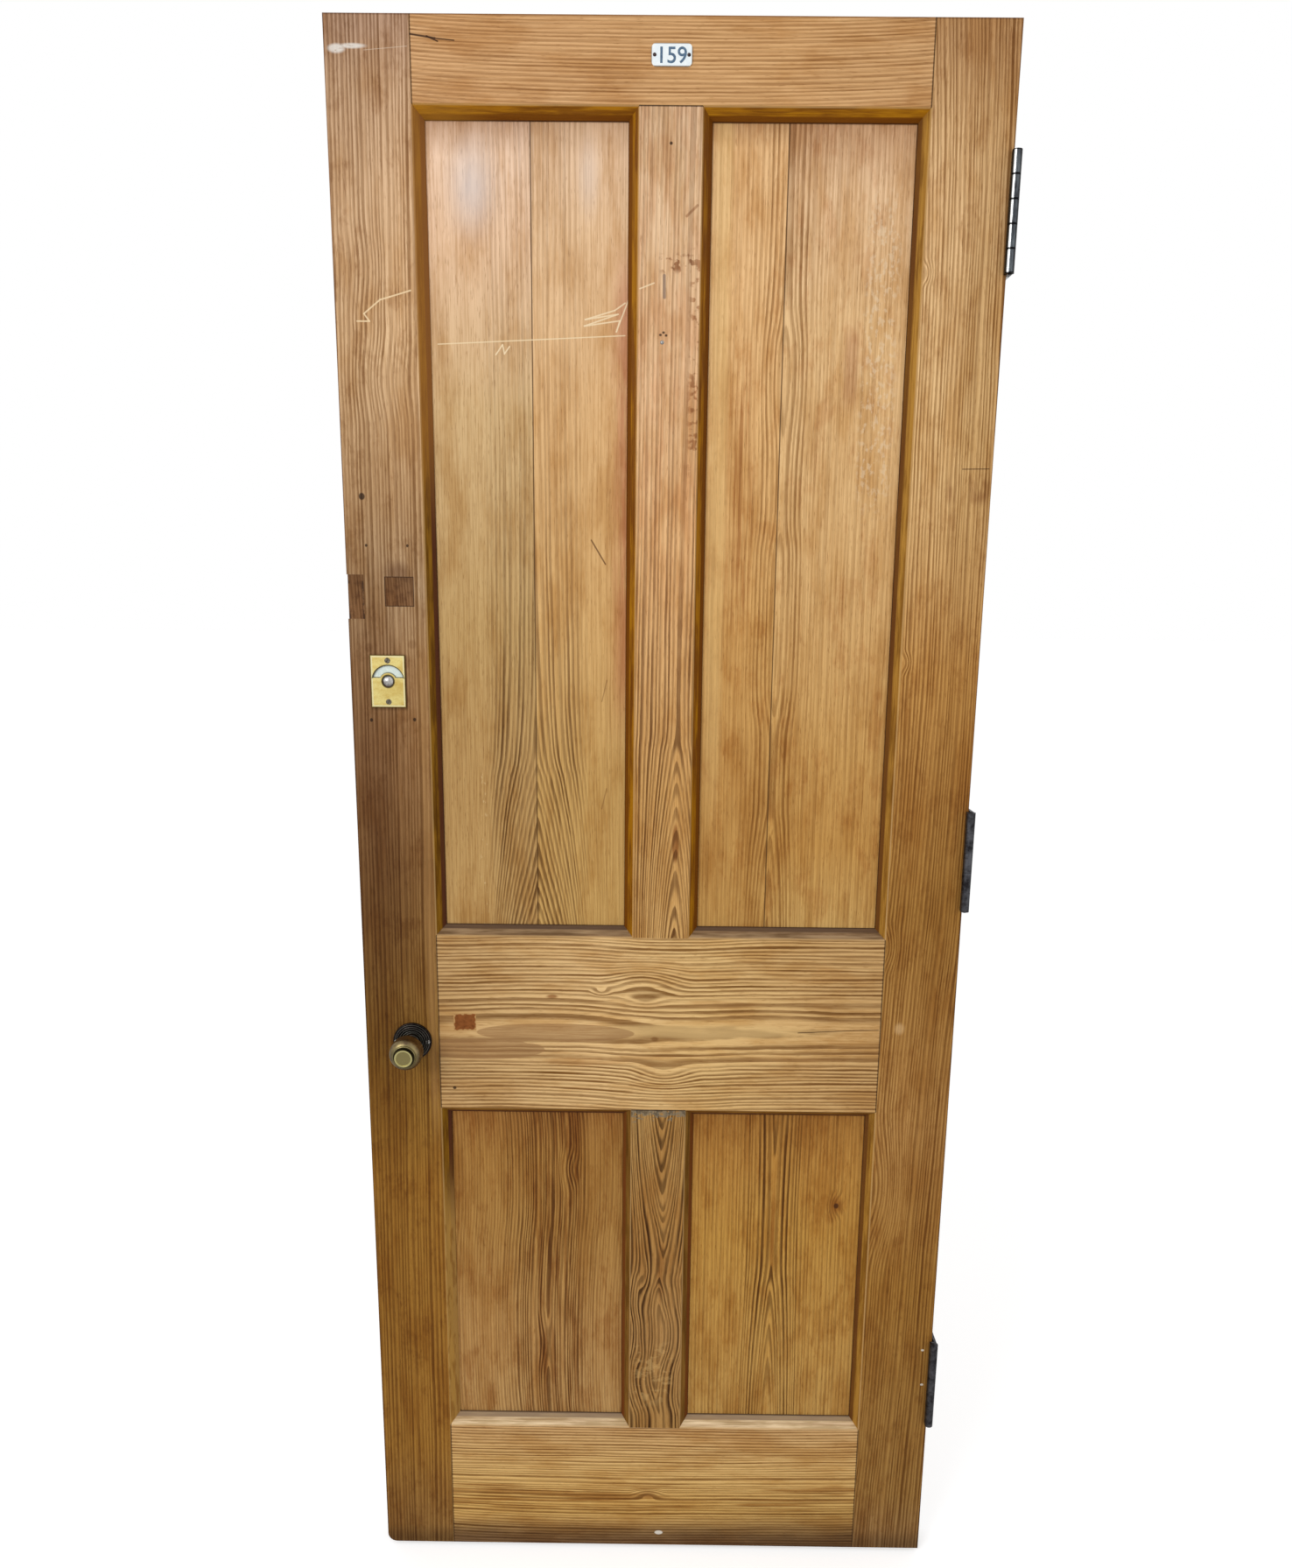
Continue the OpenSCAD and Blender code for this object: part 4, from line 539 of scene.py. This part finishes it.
b.cover(b.front * b.spot(0.5, 1830, 1.7, 1.7, 1.3, 0.7) * 0.9, 44, 26, 18)
for hole_x, hole_z in ((-9, 1631), (-5.5, 1633.5), (-2.5, 1630.5)):
    b.cover(b.front * b.spot(hole_x, hole_z, 1.7, 1.4, 1.3, 0.6) * 0.85, 40, 24, 18)
b.stroke([(-33, 1680), (-17, 1686)], 2.2, 0.8, 246, 220, 180)
b.cover(b.front * b.z.rise(1866.0, 1867.2) * 0.9, 40, 26, 18)
b.done("muntin_upper")

b = Board("pine_lower_muntin", "z",
          [(163, 9, -4), (210, 8, 0), (270, 0, -7), (340, 8, -12), (400, 3, -7), (440, 7, 0), (480, 9, -4),
           (540, 8, -16), (620, 6, -32), (705, 5, -46)],
          ring=5.4, deep=3.5, sway=3.5, ripple=2.4, seed=13.3,
          knolls=[(-18, 300, 12, 40, 6), (-14, 420, 12, 50, 6)])
b.start(shade(b.z, [(163, 166, 126, 70), (330, 170, 129, 76), (520, 168, 124, 66), (690, 184, 146, 88)]),
        1.0, (0.10, 0.06, 0.03))
b.darken(b.front * b.spot(6, 440, 9, 60, 1.0, 0.4) * 0.5, (0.62, 0.48, 0.36))
rubs = b.p.noise((14, 14, 9), 3.0, 0.6, 19).rise(0.50, 0.62)
b.cover(b.front * rubs * b.z.within(235, 325, 16) * b.x.within(-28, 22, 8) * 0.28, 222, 184, 120)
splay(b, abs(b.x).rise(34.6, 35.6), (106, 70, 18), (140, 100, 40), (110, 56, 18))
chips = b.p.noise((8, 8, 5), 3.0, 0.62, 2) + b.z.rise(655, 676) * 0.26
b.cover(b.front * chips.rise(0.60, 0.66) * b.z.rise(654, 660) * 0.75, 126, 118, 100)
b.darken(b.front * chips.rise(0.72, 0.80) * b.z.rise(656, 662) * 0.7, (0.40, 0.36, 0.34))
b.cover(b.front * b.z.rise(673.0, 674.2) * 0.85, 44, 28, 20)
b.done("muntin_lower")


# The panels: thin boards that float in grooves. The upper ones are two boards glued edge to edge,
# and each lower one is a single board. Dirt gathers along the grooves.
def grooved(board, sides, ends, joint=None):
    """The marks of a panel held in a groove: a dark line round its edge and on its glued joint."""
    left, right = sides
    foot, head = ends
    from_side = (board.x - left).less(right - board.x)
    from_end = (board.z - foot).less(head - board.z)
    from_edge = from_side.less(from_end)
    rim = board.p.noise((20, 20, 60), 3.0, 0.6, 17)
    board.darken(from_side.rise(9, 0.5) * (rim * 0.8 + 0.1), (0.70, 0.56, 0.48))
    board.darken(from_end.rise(7, 0.5) * (rim * 0.8 + 0.1), (0.66, 0.54, 0.46))
    board.cover((head - board.z).within(2.6, 5.4, 0.8) * rim.rise(0.3, 0.5) * 0.4, 214, 150, 118)
    board.cover((board.x - left).within(2.2, 4.6, 0.8) * rim.rise(0.3, 0.5) * 0.5, 222, 178, 130)
    board.darken(from_edge.rise(16, 2) * rim.rise(0.62, 0.46) * board.front * 0.45, (0.86, 0.66, 0.56))
    board.cover(from_edge.rise(2.4, 1.0) * 0.8, 54, 26, 18)
    if joint is not None:
        board.cover(abs(board.x - joint).rise(1.0, 0.3) * 0.85, 70, 44, 22)


left_sides, right_sides = (-287, -35), (35, 287)
upper_ends, lower_ends = (911, 1868), (193, 675)
left_joint, right_joint = -157.5, 133

left_heart = [(914, -60), (960, -48), (1010, -36), (1060, -26), (1110, -15), (1160, -6), (1320, 0),
              (1865, 0)]
b = Board("pine_upper_left_outer", "z", [(z, -156, h) for z, h in left_heart],
          ring=5.6, sway=1.6, ripple=1.5, seed=3.3, face=-6.0, reach=(112, 24))
calm = b.x.rise(-222, -200)
faint_above = b.z.rise(1560, 1080) * 0.62 + 0.30
# Lighter towards the top: partly the wood's own tone, partly painted light falling from above.
b.start(shade(b.z, [(914, 185, 149, 93), (1100, 178, 141, 87), (1300, 186, 152, 98), (1550, 204, 172, 124),
                    (1740, 224, 188, 152), (1820, 232, 200, 170), (1868, 174, 136, 106)]),
        (calm * 0.85 + 0.15) * faint_above, (0.17, 0.10, 0.05))
# A painted sheen: a pale grey oval of reflected light at the top left of the panel.
b.cover(b.front * b.spot(-225, 1790, 40, 74, 1.0, 0.0) * (b.cloud * 0.7 + 0.1), 226, 222, 224)
b.darken(b.front * b.x.rise(-279, -283) * 0.85, (0.68, 0.48, 0.52))
dots = b.p.noise((4, 4, 8), 1.0, 0.5, 12).rise(0.64, 0.72)
b.cover(b.front * b.x.within(-229, -221, 4) * b.z.within(930, 1130, 20) * dots * 0.4, 228, 202, 152)
grooved(b, left_sides, upper_ends, left_joint)
b.stroke([(-267, 1622), (-157, 1627.5)], 1.8, 0.8, 246, 222, 180)
b.stroke([(-200, 1611), (-192, 1622), (-190, 1612), (-184, 1620)], 2.2, 0.85, 248, 224, 184)
b.done("panel_upper_left_outer")

b = Board("pine_upper_left_inner", "z", [(z, -157, h) for z, h in left_heart],
          ring=5.8, sway=1.6, ripple=1.6, seed=6.6, face=-6.0, reach=(112, 24))
calm = b.x.rise(-88, -116)
faint_above = b.z.rise(1560, 1080) * 0.62 + 0.30
# Lighter towards the top: partly the wood's own tone, partly painted light falling from above.
b.start(shade(b.z, [(914, 190, 152, 89), (1100, 190, 151, 89), (1300, 205, 164, 105), (1550, 214, 173, 121),
                    (1740, 222, 186, 144), (1820, 222, 188, 152), (1868, 186, 150, 116)]),
        (calm * 0.80 + 0.20) * faint_above, (0.17, 0.10, 0.05))
# A painted sheen: a faint pale oval of reflected light at the top of the board.
b.cover(b.front * b.spot(-92, 1800, 18, 60, 1.0, 0.0) * 0.25, 226, 222, 222)
flush = b.p.noise((12, 12, 90), 3, 0.6, 9).rise(0.25, 0.55)
b.darken(b.front * b.x.rise(-74, -44) * b.z.within(1200, 1700, 60) * flush * 0.9, (0.74, 0.48, 0.50))
grooved(b, left_sides, upper_ends, left_joint)
b.stroke([(-157, 1627.5), (-50, 1633)], 1.8, 0.8, 246, 222, 180)
zigzag = [(-50, 1668), (-62, 1660), (-96, 1650), (-58, 1656), (-97, 1643), (-56, 1649), (-60, 1637),
          (-46, 1672)]
b.stroke(zigzag, 2.2, 0.85, 248, 224, 184)
b.stroke([(-89, 1403), (-72, 1375)], 2.4, 0.8, 96, 60, 34)
for hook_z in (1210, 1075):
    b.stroke([(-76, hook_z), (-70, hook_z + 26)], 2.0, 0.5, 120, 78, 40)
b.done("panel_upper_left_inner")

right_heart = [(914, -16), (1000, -9), (1060, -2), (1085, 0), (1150, 0), (1200, -5), (1260, -9), (1380, -8),
               (1450, -2), (1560, -7), (1590, -8), (1620, -7), (1700, 0), (1865, 0)]
b = Board("pine_upper_right_inner", "z", [(z, 136, h) for z, h in right_heart],
          ring=5.6, sway=2, ripple=1.3, seed=8.2, face=-6.0)
calm = b.x.rise(96, 118)
# Lighter towards the top: partly the wood's own tone, partly painted light falling from above.
b.start(shade(b.z, [(914, 186, 144, 80), (1100, 188, 142, 78), (1300, 204, 158, 94), (1550, 222, 178, 120),
                    (1700, 228, 186, 132), (1830, 224, 182, 130), (1868, 170, 130, 90)]), calm * 0.45 + 0.35)
b.darken(b.p.noise((22, 22, 45), 4, 0.66, 35).rise(0.50, 0.68) * 0.5, (0.78, 0.62, 0.46))
b.cover(b.front * b.x.within(50, 70, 5) * b.z.rise(1000, 1200) * 0.3, 234, 198, 132)
brown_streaks = b.x.within(74, 101, 6) * b.p.noise((5, 5, 120), 2, 0.6, 9).rise(0.42, 0.62)
b.darken(b.front * brown_streaks * b.z.within(1300, 1600, 50) * 0.75, (0.64, 0.48, 0.36))
grooved(b, right_sides, upper_ends, right_joint)
b.done("panel_upper_right_inner")

b = Board("pine_upper_right_outer", "z", [(z, 136, h) for z, h in right_heart],
          ring=5.8, sway=2, ripple=1.3, seed=10.9, face=-6.0)
calm = b.x.rise(176, 154)
# Lighter towards the top: partly the wood's own tone, partly painted light falling from above.
b.start(shade(b.z, [(914, 198, 160, 96), (1030, 186, 140, 74), (1150, 196, 152, 88), (1400, 214, 174, 118),
                    (1640, 222, 184, 132), (1790, 224, 188, 146), (1868, 184, 142, 104)]), calm * 0.45 + 0.35)
b.darken(b.p.noise((22, 22, 45), 4, 0.66, 37).rise(0.50, 0.68) * 0.5, (0.78, 0.62, 0.50))
b.darken(b.front * b.x.within(205, 221, 5) * b.z.within(1560, 1640, 18) * 0.5, (0.66, 0.50, 0.52))
speckle = b.p.noise((5, 5, 8), 2.0, 0.6, 15).rise(0.50, 0.64)
b.cover(b.front * b.x.within(226, 264, 8) * b.z.within(1450, 1780, 40) * speckle * 0.4, 238, 214, 180)
grooved(b, right_sides, upper_ends, right_joint)
b.done("panel_upper_right_outer")

b = Board("pine_lower_left", "z",
          [(196, -146, 0), (320, -150, 0), (450, -146, 0), (580, -140, 0), (672, -146, 0)],
          ring=4.0, deep=4, sway=2.5, ripple=1.3, seed=12.4, face=-6.0,
          knolls=[(-120, 580, 20, 40, 6), (-155, 315, 18, 60, 4)])
b.start(shade(b.z, [(196, 182, 144, 90), (330, 178, 136, 80), (480, 170, 128, 68), (600, 164, 120, 60),
                    (675, 156, 110, 56)]),
        b.x.within(-200, -96, 16) * 0.5 + 0.45, (0.19, 0.11, 0.05))
brown_streaks = b.x.within(-166, -104, 8) * b.p.noise((6, 6, 130), 2, 0.6, 3).rise(0.44, 0.60)
b.darken(brown_streaks * 0.7, (0.56, 0.42, 0.30))
b.darken(b.spot(-155, 315, 9, 26, 1.0, 0.3) * 0.25, (0.60, 0.48, 0.38))
b.darken(b.p.noise((16, 16, 60), 4, 0.66, 31).rise(0.50, 0.68) * 0.6, (0.68, 0.52, 0.38))
grooved(b, left_sides, lower_ends)
b.done("panel_lower_left")

b = Board("pine_lower_right", "z",
          [(196, 158, -18), (300, 158, -12), (400, 158, -4), (450, 158, 0), (560, 158, 0), (672, 158, -3)],
          ring=5.2, deep=3.5, sway=1.5, ripple=1.2, seed=15.1, face=-6.0, knolls=[(243, 530, 18, 26, 9)])
b.start(shade(b.z, [(196, 186, 146, 80), (330, 188, 144, 74), (480, 186, 140, 66), (600, 178, 130, 62),
                    (675, 160, 112, 52)]),
        b.x.within(124, 196, 16) * 0.55 + 0.4, (0.13, 0.07, 0.03))
b.darken(b.spot(243, 530, 16, 19, 1.0, 0.2) * 0.75, (0.58, 0.40, 0.26))
b.darken(b.spot(236, 512, 12, 14, 1.0, 0.2) * 0.5, (0.66, 0.48, 0.32))
b.darken(b.p.noise((18, 18, 50), 4, 0.66, 33).rise(0.48, 0.66) * 0.5, (0.72, 0.57, 0.40))
b.cover(b.spot(243, 530, 3.4, 4.0, 1.2, 0.7) * 0.85, 66, 36, 20)
b.darken(abs(b.x - 158).rise(4.0, 1.4) * b.z.within(430, 540, 50) * 0.75, (0.46, 0.30, 0.19))
grooved(b, right_sides, lower_ends)
b.done("panel_lower_right")


# Wedges driven into the through tenons, two patches let into the lock stile, and a plug of rust-red
# filler in the lock rail.
b = Board("wedge_pine", "x", [(-381, 1200, 0), (381, 1210, 0)], ring=2.6, sway=2, seed=16.3)
b.start(shade(b.z, [(0, 172, 134, 88), (1956, 200, 160, 116)]), 0.6)
b.done("tenon_wedges")

b = Board("patch_wood", "z", [(1300, -420, 0), (1370, -424, 0)], ring=4.0, sway=2, seed=18.5)
b.start(shade(b.z, [(1308, 136, 100, 66), (1360, 118, 86, 56)]), 0.7)
ragged = b.p.noise((8, 8, 10), 3.0, 0.6, 2)
b.darken(ragged.rise(0.45, 0.65) * 0.6, (0.55, 0.48, 0.46))
square_rim = (b.x + 336).less(-301 - b.x).less((b.z - 1323).less(1358 - b.z))
b.cover(b.x.rise(-345, -340) * square_rim.rise(1.3, 0.5) * 0.8, 44, 28, 20)
edge_rim = (b.x + 380).less(-361 - b.x)
b.cover(b.x.rise(-352, -356) * edge_rim.rise(3.4, 0.6) * ragged.rise(0.40, 0.55) * 0.8, 50, 32, 24)
b.done("patch_stile", "patch_edge")

filler_paint, w = material("red_filler")
p = millimetres(w)
lumps = p.noise((5, 5, 4), 4.0, 0.65, 3)
clay = mottle(lumps, 0.3, (112, 62, 26), 0.7, (148, 88, 44))
x, _, z = p.parts()
border = (x + 267).less(-238 - x).less((z - 783).less(806 - z)) + (lumps - 0.5) * 9
clay = clay.blend(tone(190, 146, 92), border.rise(1.6, 0.4))
surface(w, clay, lumps * 0.2 + 0.6, lumps, 0.0005, Specular_IOR_Level=0.09)
dress(filler_paint, "filler_lock_rail")


# The number plate: a small sheet-iron plate enamelled white, with blue-grey figures fired on, held by
# two round-headed screws.
enamel, w = material("white_enamel")
p = millimetres(w)
x, _, z = p.parts()
haze = p.noise((7, 7, 7), 3.0, 0.6, 5)
half_long, half_high, plate_z = 22.25, 11.2, 1917
rim = (half_long - abs(x)).less(half_high - abs(z - plate_z))
glaze = mottle(haze, 0.3, (236, 246, 250), 0.7, (250, 255, 255))
glaze = glaze.blend(tone(120, 112, 104), rim.rise(0.9, 0.2) * 0.8)
surface(w, glaze, haze * 0.12 + 0.16, haze, 0.0001, Coat_Weight=0.4)
dress(enamel, "number_plate")

figures = bpy.data.objects.new("figures_text", bpy.data.curves.new("figures_text", "FONT"))
figures.data.body = "159"
figures.data.align_x = "CENTER"
figures.data.size = 0.0228
figures.data.extrude = 0.00006
figures.data.offset = 0.0002
bpy.context.scene.collection.objects.link(figures)
drawn = bpy.data.meshes.new_from_object(figures.evaluated_get(bpy.context.evaluated_depsgraph_get()))
bpy.data.objects.remove(figures)
foot_of_figures = (0, -0.02366, 1.9090)
drawn.transform(Matrix.Translation(foot_of_figures) @ Matrix.Rotation(math.pi / 2, 4, "X"))
number_figures = bpy.data.objects.new("number_figures", drawn)
bpy.context.scene.collection.objects.link(number_figures)
ink, w = material("figure_enamel")
p = millimetres(w)
worn = p.noise((3, 3, 3), 3.0, 0.6, 7)
surface(w, mottle(worn, 0.35, (62, 90, 118), 0.7, (98, 126, 150)), worn * 0.2 + 0.2)
drawn.materials.clear()
drawn.materials.append(ink)
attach(number_figures, "door")


# The screws, spindles, lock cases, bolts and the two lower hinges: steel, black iron and old brass,
# each with its own dullness and wear.
def metal(name, light, dark, lump, rough):
    """A worn metal: two tones mixed by noise, rougher where it is dark."""
    made, w = material(name)
    p = millimetres(w)
    grime = p.noise((lump, lump, lump), 4.0, 0.62, 3)
    fine = p.noise((1.2, 1.2, 1.2), 2.0, 0.6, 8)
    colour = mottle(grime, 0.36, light, 0.66, dark)
    surface(w, colour, grime * 0.3 + fine * 0.08 + (rough - 0.15), grime + fine * 0.4, 0.00008, Metallic=1.0)
    return made


dress(metal("bright_steel", (206, 204, 200), (128, 124, 120), 7, 0.30), "muntin_nail", "indicator_release",
      "rose_screws")
dress(metal("dull_screw", (136, 128, 112), (62, 56, 48), 2.4, 0.36), "indicator_plate_screws")
old_hinges = [f"hinge_{place}_{piece}" for place in ("middle", "bottom")
              for piece in ("frame_leaf", "door_leaf", "pin", "screws")]
dress(metal("dark_steel", (92, 92, 96), (40, 38, 40), 9, 0.42), *old_hinges, "knob_spindle",
      "indicator_spindle", "knob_grub_screws", "latch_spring")
dress(metal("dark_screw", (96, 80, 78), (44, 34, 36), 3, 0.40), "number_plate_screws")
dress(metal("old_brass", (140, 120, 82), (92, 74, 48), 8, 0.36), "knob_inside", "bolt_snib")
dress(metal("case_iron", (52, 50, 50), (26, 24, 24), 10, 0.52), "latch_case", "latch_backplate", "bolt_case",
      "bolt_backplate", "latch_case_screws", "bolt_case_screws", "latch_follower", "bolt_pinion")
dress(metal("bolt_steel", (150, 146, 138), (84, 80, 74), 8, 0.34), "latch_bolt", "slide_bolt")


# The latch's bow spring, a strip of spring steel bent between the bolt's tail and the end of the case, which
# flattens against the case as the knob draws the bolt back. Here it is a copy of the CAD spring with a mesh
# of its own, in its resting shape.
bow = bpy.data.objects.new("latch_bow_spring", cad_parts["latch_spring"].data.copy())
bpy.context.scene.collection.objects.link(bow)
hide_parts("latch_spring")
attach(bow, "door")
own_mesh(bow)


# The rose behind the outer knob: turned bronze, almost black, with fine reeds whose crests catch the
# light. Two small screws hold it to the stile.
def radius(p, x, z):
    """How far a point lies from the level line that meets the face at (x, z)."""
    return p.vector("MULTIPLY_ADD", (1, 0, 1), (-x, 0, -z)).vector("LENGTH", out=1)


knob_axis = (-321, 768)
dark_bronze, w = material("dark_bronze")
p = millimetres(w)
tarnish = p.noise((4, 4, 4), 4.0, 0.62, 3)
from_axis = radius(p, *knob_axis)
reed = from_axis / 2.6
crest = abs(reed.maths("FRACT", reed) - 0.5).rise(0.28, 0.06) * from_axis.rise(24.4, 23.6)
patina = mottle(tarnish, 0.36, (50, 42, 40), 0.66, (22, 18, 18))
patina = patina.blend(tone(112, 112, 104), crest * (tarnish * 0.5 + 0.35))
surface(w, patina, tarnish * 0.3 + 0.18, crest, 0.0003, Metallic=1.0)
dress(dark_bronze, "rose")


# The outer knob: cast brass gone brown with handling, rubbed bright on its bead and round the rim of
# its end disc. Grime stays in the groove between them.
handled_brass, w = material("handled_brass")
p = millimetres(w)
y = p.parts()[1]
lump = p.noise((9, 9, 9), 4.0, 0.62, 3)
from_axis = radius(p, *knob_axis)
nose = y.rise(-68, -72)
bronze = mottle(lump, 0.36, (134, 118, 82), 0.66, (88, 72, 56))
bands = ((tone(118, 110, 72), from_axis.rise(17.0, 15.0) * 0.6),
         (tone(36, 30, 20), from_axis.within(11.4, 13.6, 0.3) * 0.9),
         (tone(204, 194, 134), from_axis.within(9.0, 11.2, 0.3) * 0.85),
         (tone(150, 138, 90), from_axis.rise(9.0, 8.4) * (lump * 0.8 + 0.3)))
for band, share in bands:
    bronze = bronze.blend(band, nose * share)
bronze = bronze.blend(tone(44, 34, 26), y.rise(-36, -30) * 0.7)
surface(w, bronze, lump * 0.3 + 0.22, lump, 0.0001, Metallic=1.0)
dress(handled_brass, "knob_outside")


# The top hinge, newer than the other two: a bright stripe down the front of its barrel is a painted highlight
# and its two sides are painted shade, and each joint between two knuckles is a dark line.
painted_highlight_steel, w = material("steel_painted_highlight")
p = millimetres(w)
x, y, z = p.parts()
stain = p.noise((5, 5, 16), 4.0, 0.62, 3)
steel = mottle(stain, 0.36, (96, 102, 106), 0.66, (52, 52, 56))
pin_x, pin_y, foot_z, knuckle_long = 382.5, -28, 1697.5, 25.4
round_barrel = (x - pin_x) * 0.96 - (y - pin_y) * 0.27
# Painted shade on the two sides of the round barrel.
in_shade = round_barrel.rise(-3.4, -4.4).more(round_barrel.rise(3.0, 4.6))
steel = steel.blend(tone(26, 24, 24), in_shade * 0.85)
# A painted highlight: a bright stripe down the front of the barrel.
steel = steel.blend(tone(250, 250, 246), round_barrel.within(-2.9, -1.1, 0.5) * (stain * 0.5 + 0.6))
knuckle = (z - foot_z) / knuckle_long
joint = abs(knuckle.maths("FRACT", knuckle) - 0.5).rise(0.44, 0.47)
steel = steel.blend(tone(16, 14, 16), joint * y.rise(-22, -23) * 0.95)
surface(w, steel, stain * 0.3 + 0.16, stain, 0.00008, Metallic=1.0)
dress(painted_highlight_steel, "hinge_top_frame_leaf", "hinge_top_door_leaf", "hinge_top_pin", "hinge_top_screws")


# The indicator plate: sheet brass with bevelled edges, pierced by an arched window and by the hole for the
# release. Old polish stays dark round its outer edge, and the dark rims of the window's arch and of the
# release hole are painted shade.
release_axis = (-335.5, 1233.5)
half_wide, half_high = 21, 31.5
bright_brass, w = material("bright_brass")
p = millimetres(w)
x, _, z = p.parts()
dull = p.noise((14, 14, 9), 4.0, 0.62, 3)
sheet = mottle(dull, 0.36, (252, 232, 150), 0.66, (214, 184, 102))
border = (half_wide - abs(x - release_axis[0])).less(half_high - abs(z - release_axis[1]))
from_axis = radius(p, *release_axis)
sheet = sheet.blend(tone(255, 250, 212), border.within(1.0, 2.4, 0.3) * 0.6)
arch = from_axis.within(19.1, 20.3, 0.2) * z.rise(1236.4, 1237.4)
# Dark round the release hole and the window's arch: painted shade; dark along the outer edge: old polish.
polish_and_painted_shade = from_axis.rise(8.8, 7.9).more(arch).more(border.rise(0.9, 0.4))
sheet = sheet.blend(tone(52, 40, 20), polish_and_painted_shade * 0.85)
surface(w, sheet, dull * 0.25 + 0.18, dull, 0.00006, Metallic=1.0)
dress(bright_brass, "indicator_plate")


# The disc behind the indicator plate: one half pale, which shows while the bolt is drawn, and the other half
# red. Painted shade darkens it along the rims of the plate's window.
disc_enamel, w = material("disc_enamel")
p = millimetres(w)
z = p.parts()[2]
mist = p.noise((6, 6, 6), 3.0, 0.6, 3)
pale = mottle(mist, 0.3, (206, 224, 216), 0.7, (232, 242, 236))
halves = pale.blend(tone(168, 34, 26), z.rise(1233.7, 1233.3))
from_axis = radius(p, *release_axis)
# Painted shade where the rims of the plate's window overhang the disc.
dirt_and_painted_shade = from_axis.rise(11.6, 10.2).more(from_axis.rise(18.0, 19.2))
dirt_and_painted_shade = dirt_and_painted_shade.more((z - release_axis[1]).within(3.4, 5.2, 0.5))
halves = halves.blend(tone(44, 50, 44), dirt_and_painted_shade * 0.8)
surface(w, halves, mist * 0.1 + 0.22)
dress(disc_enamel, "indicator_disc")
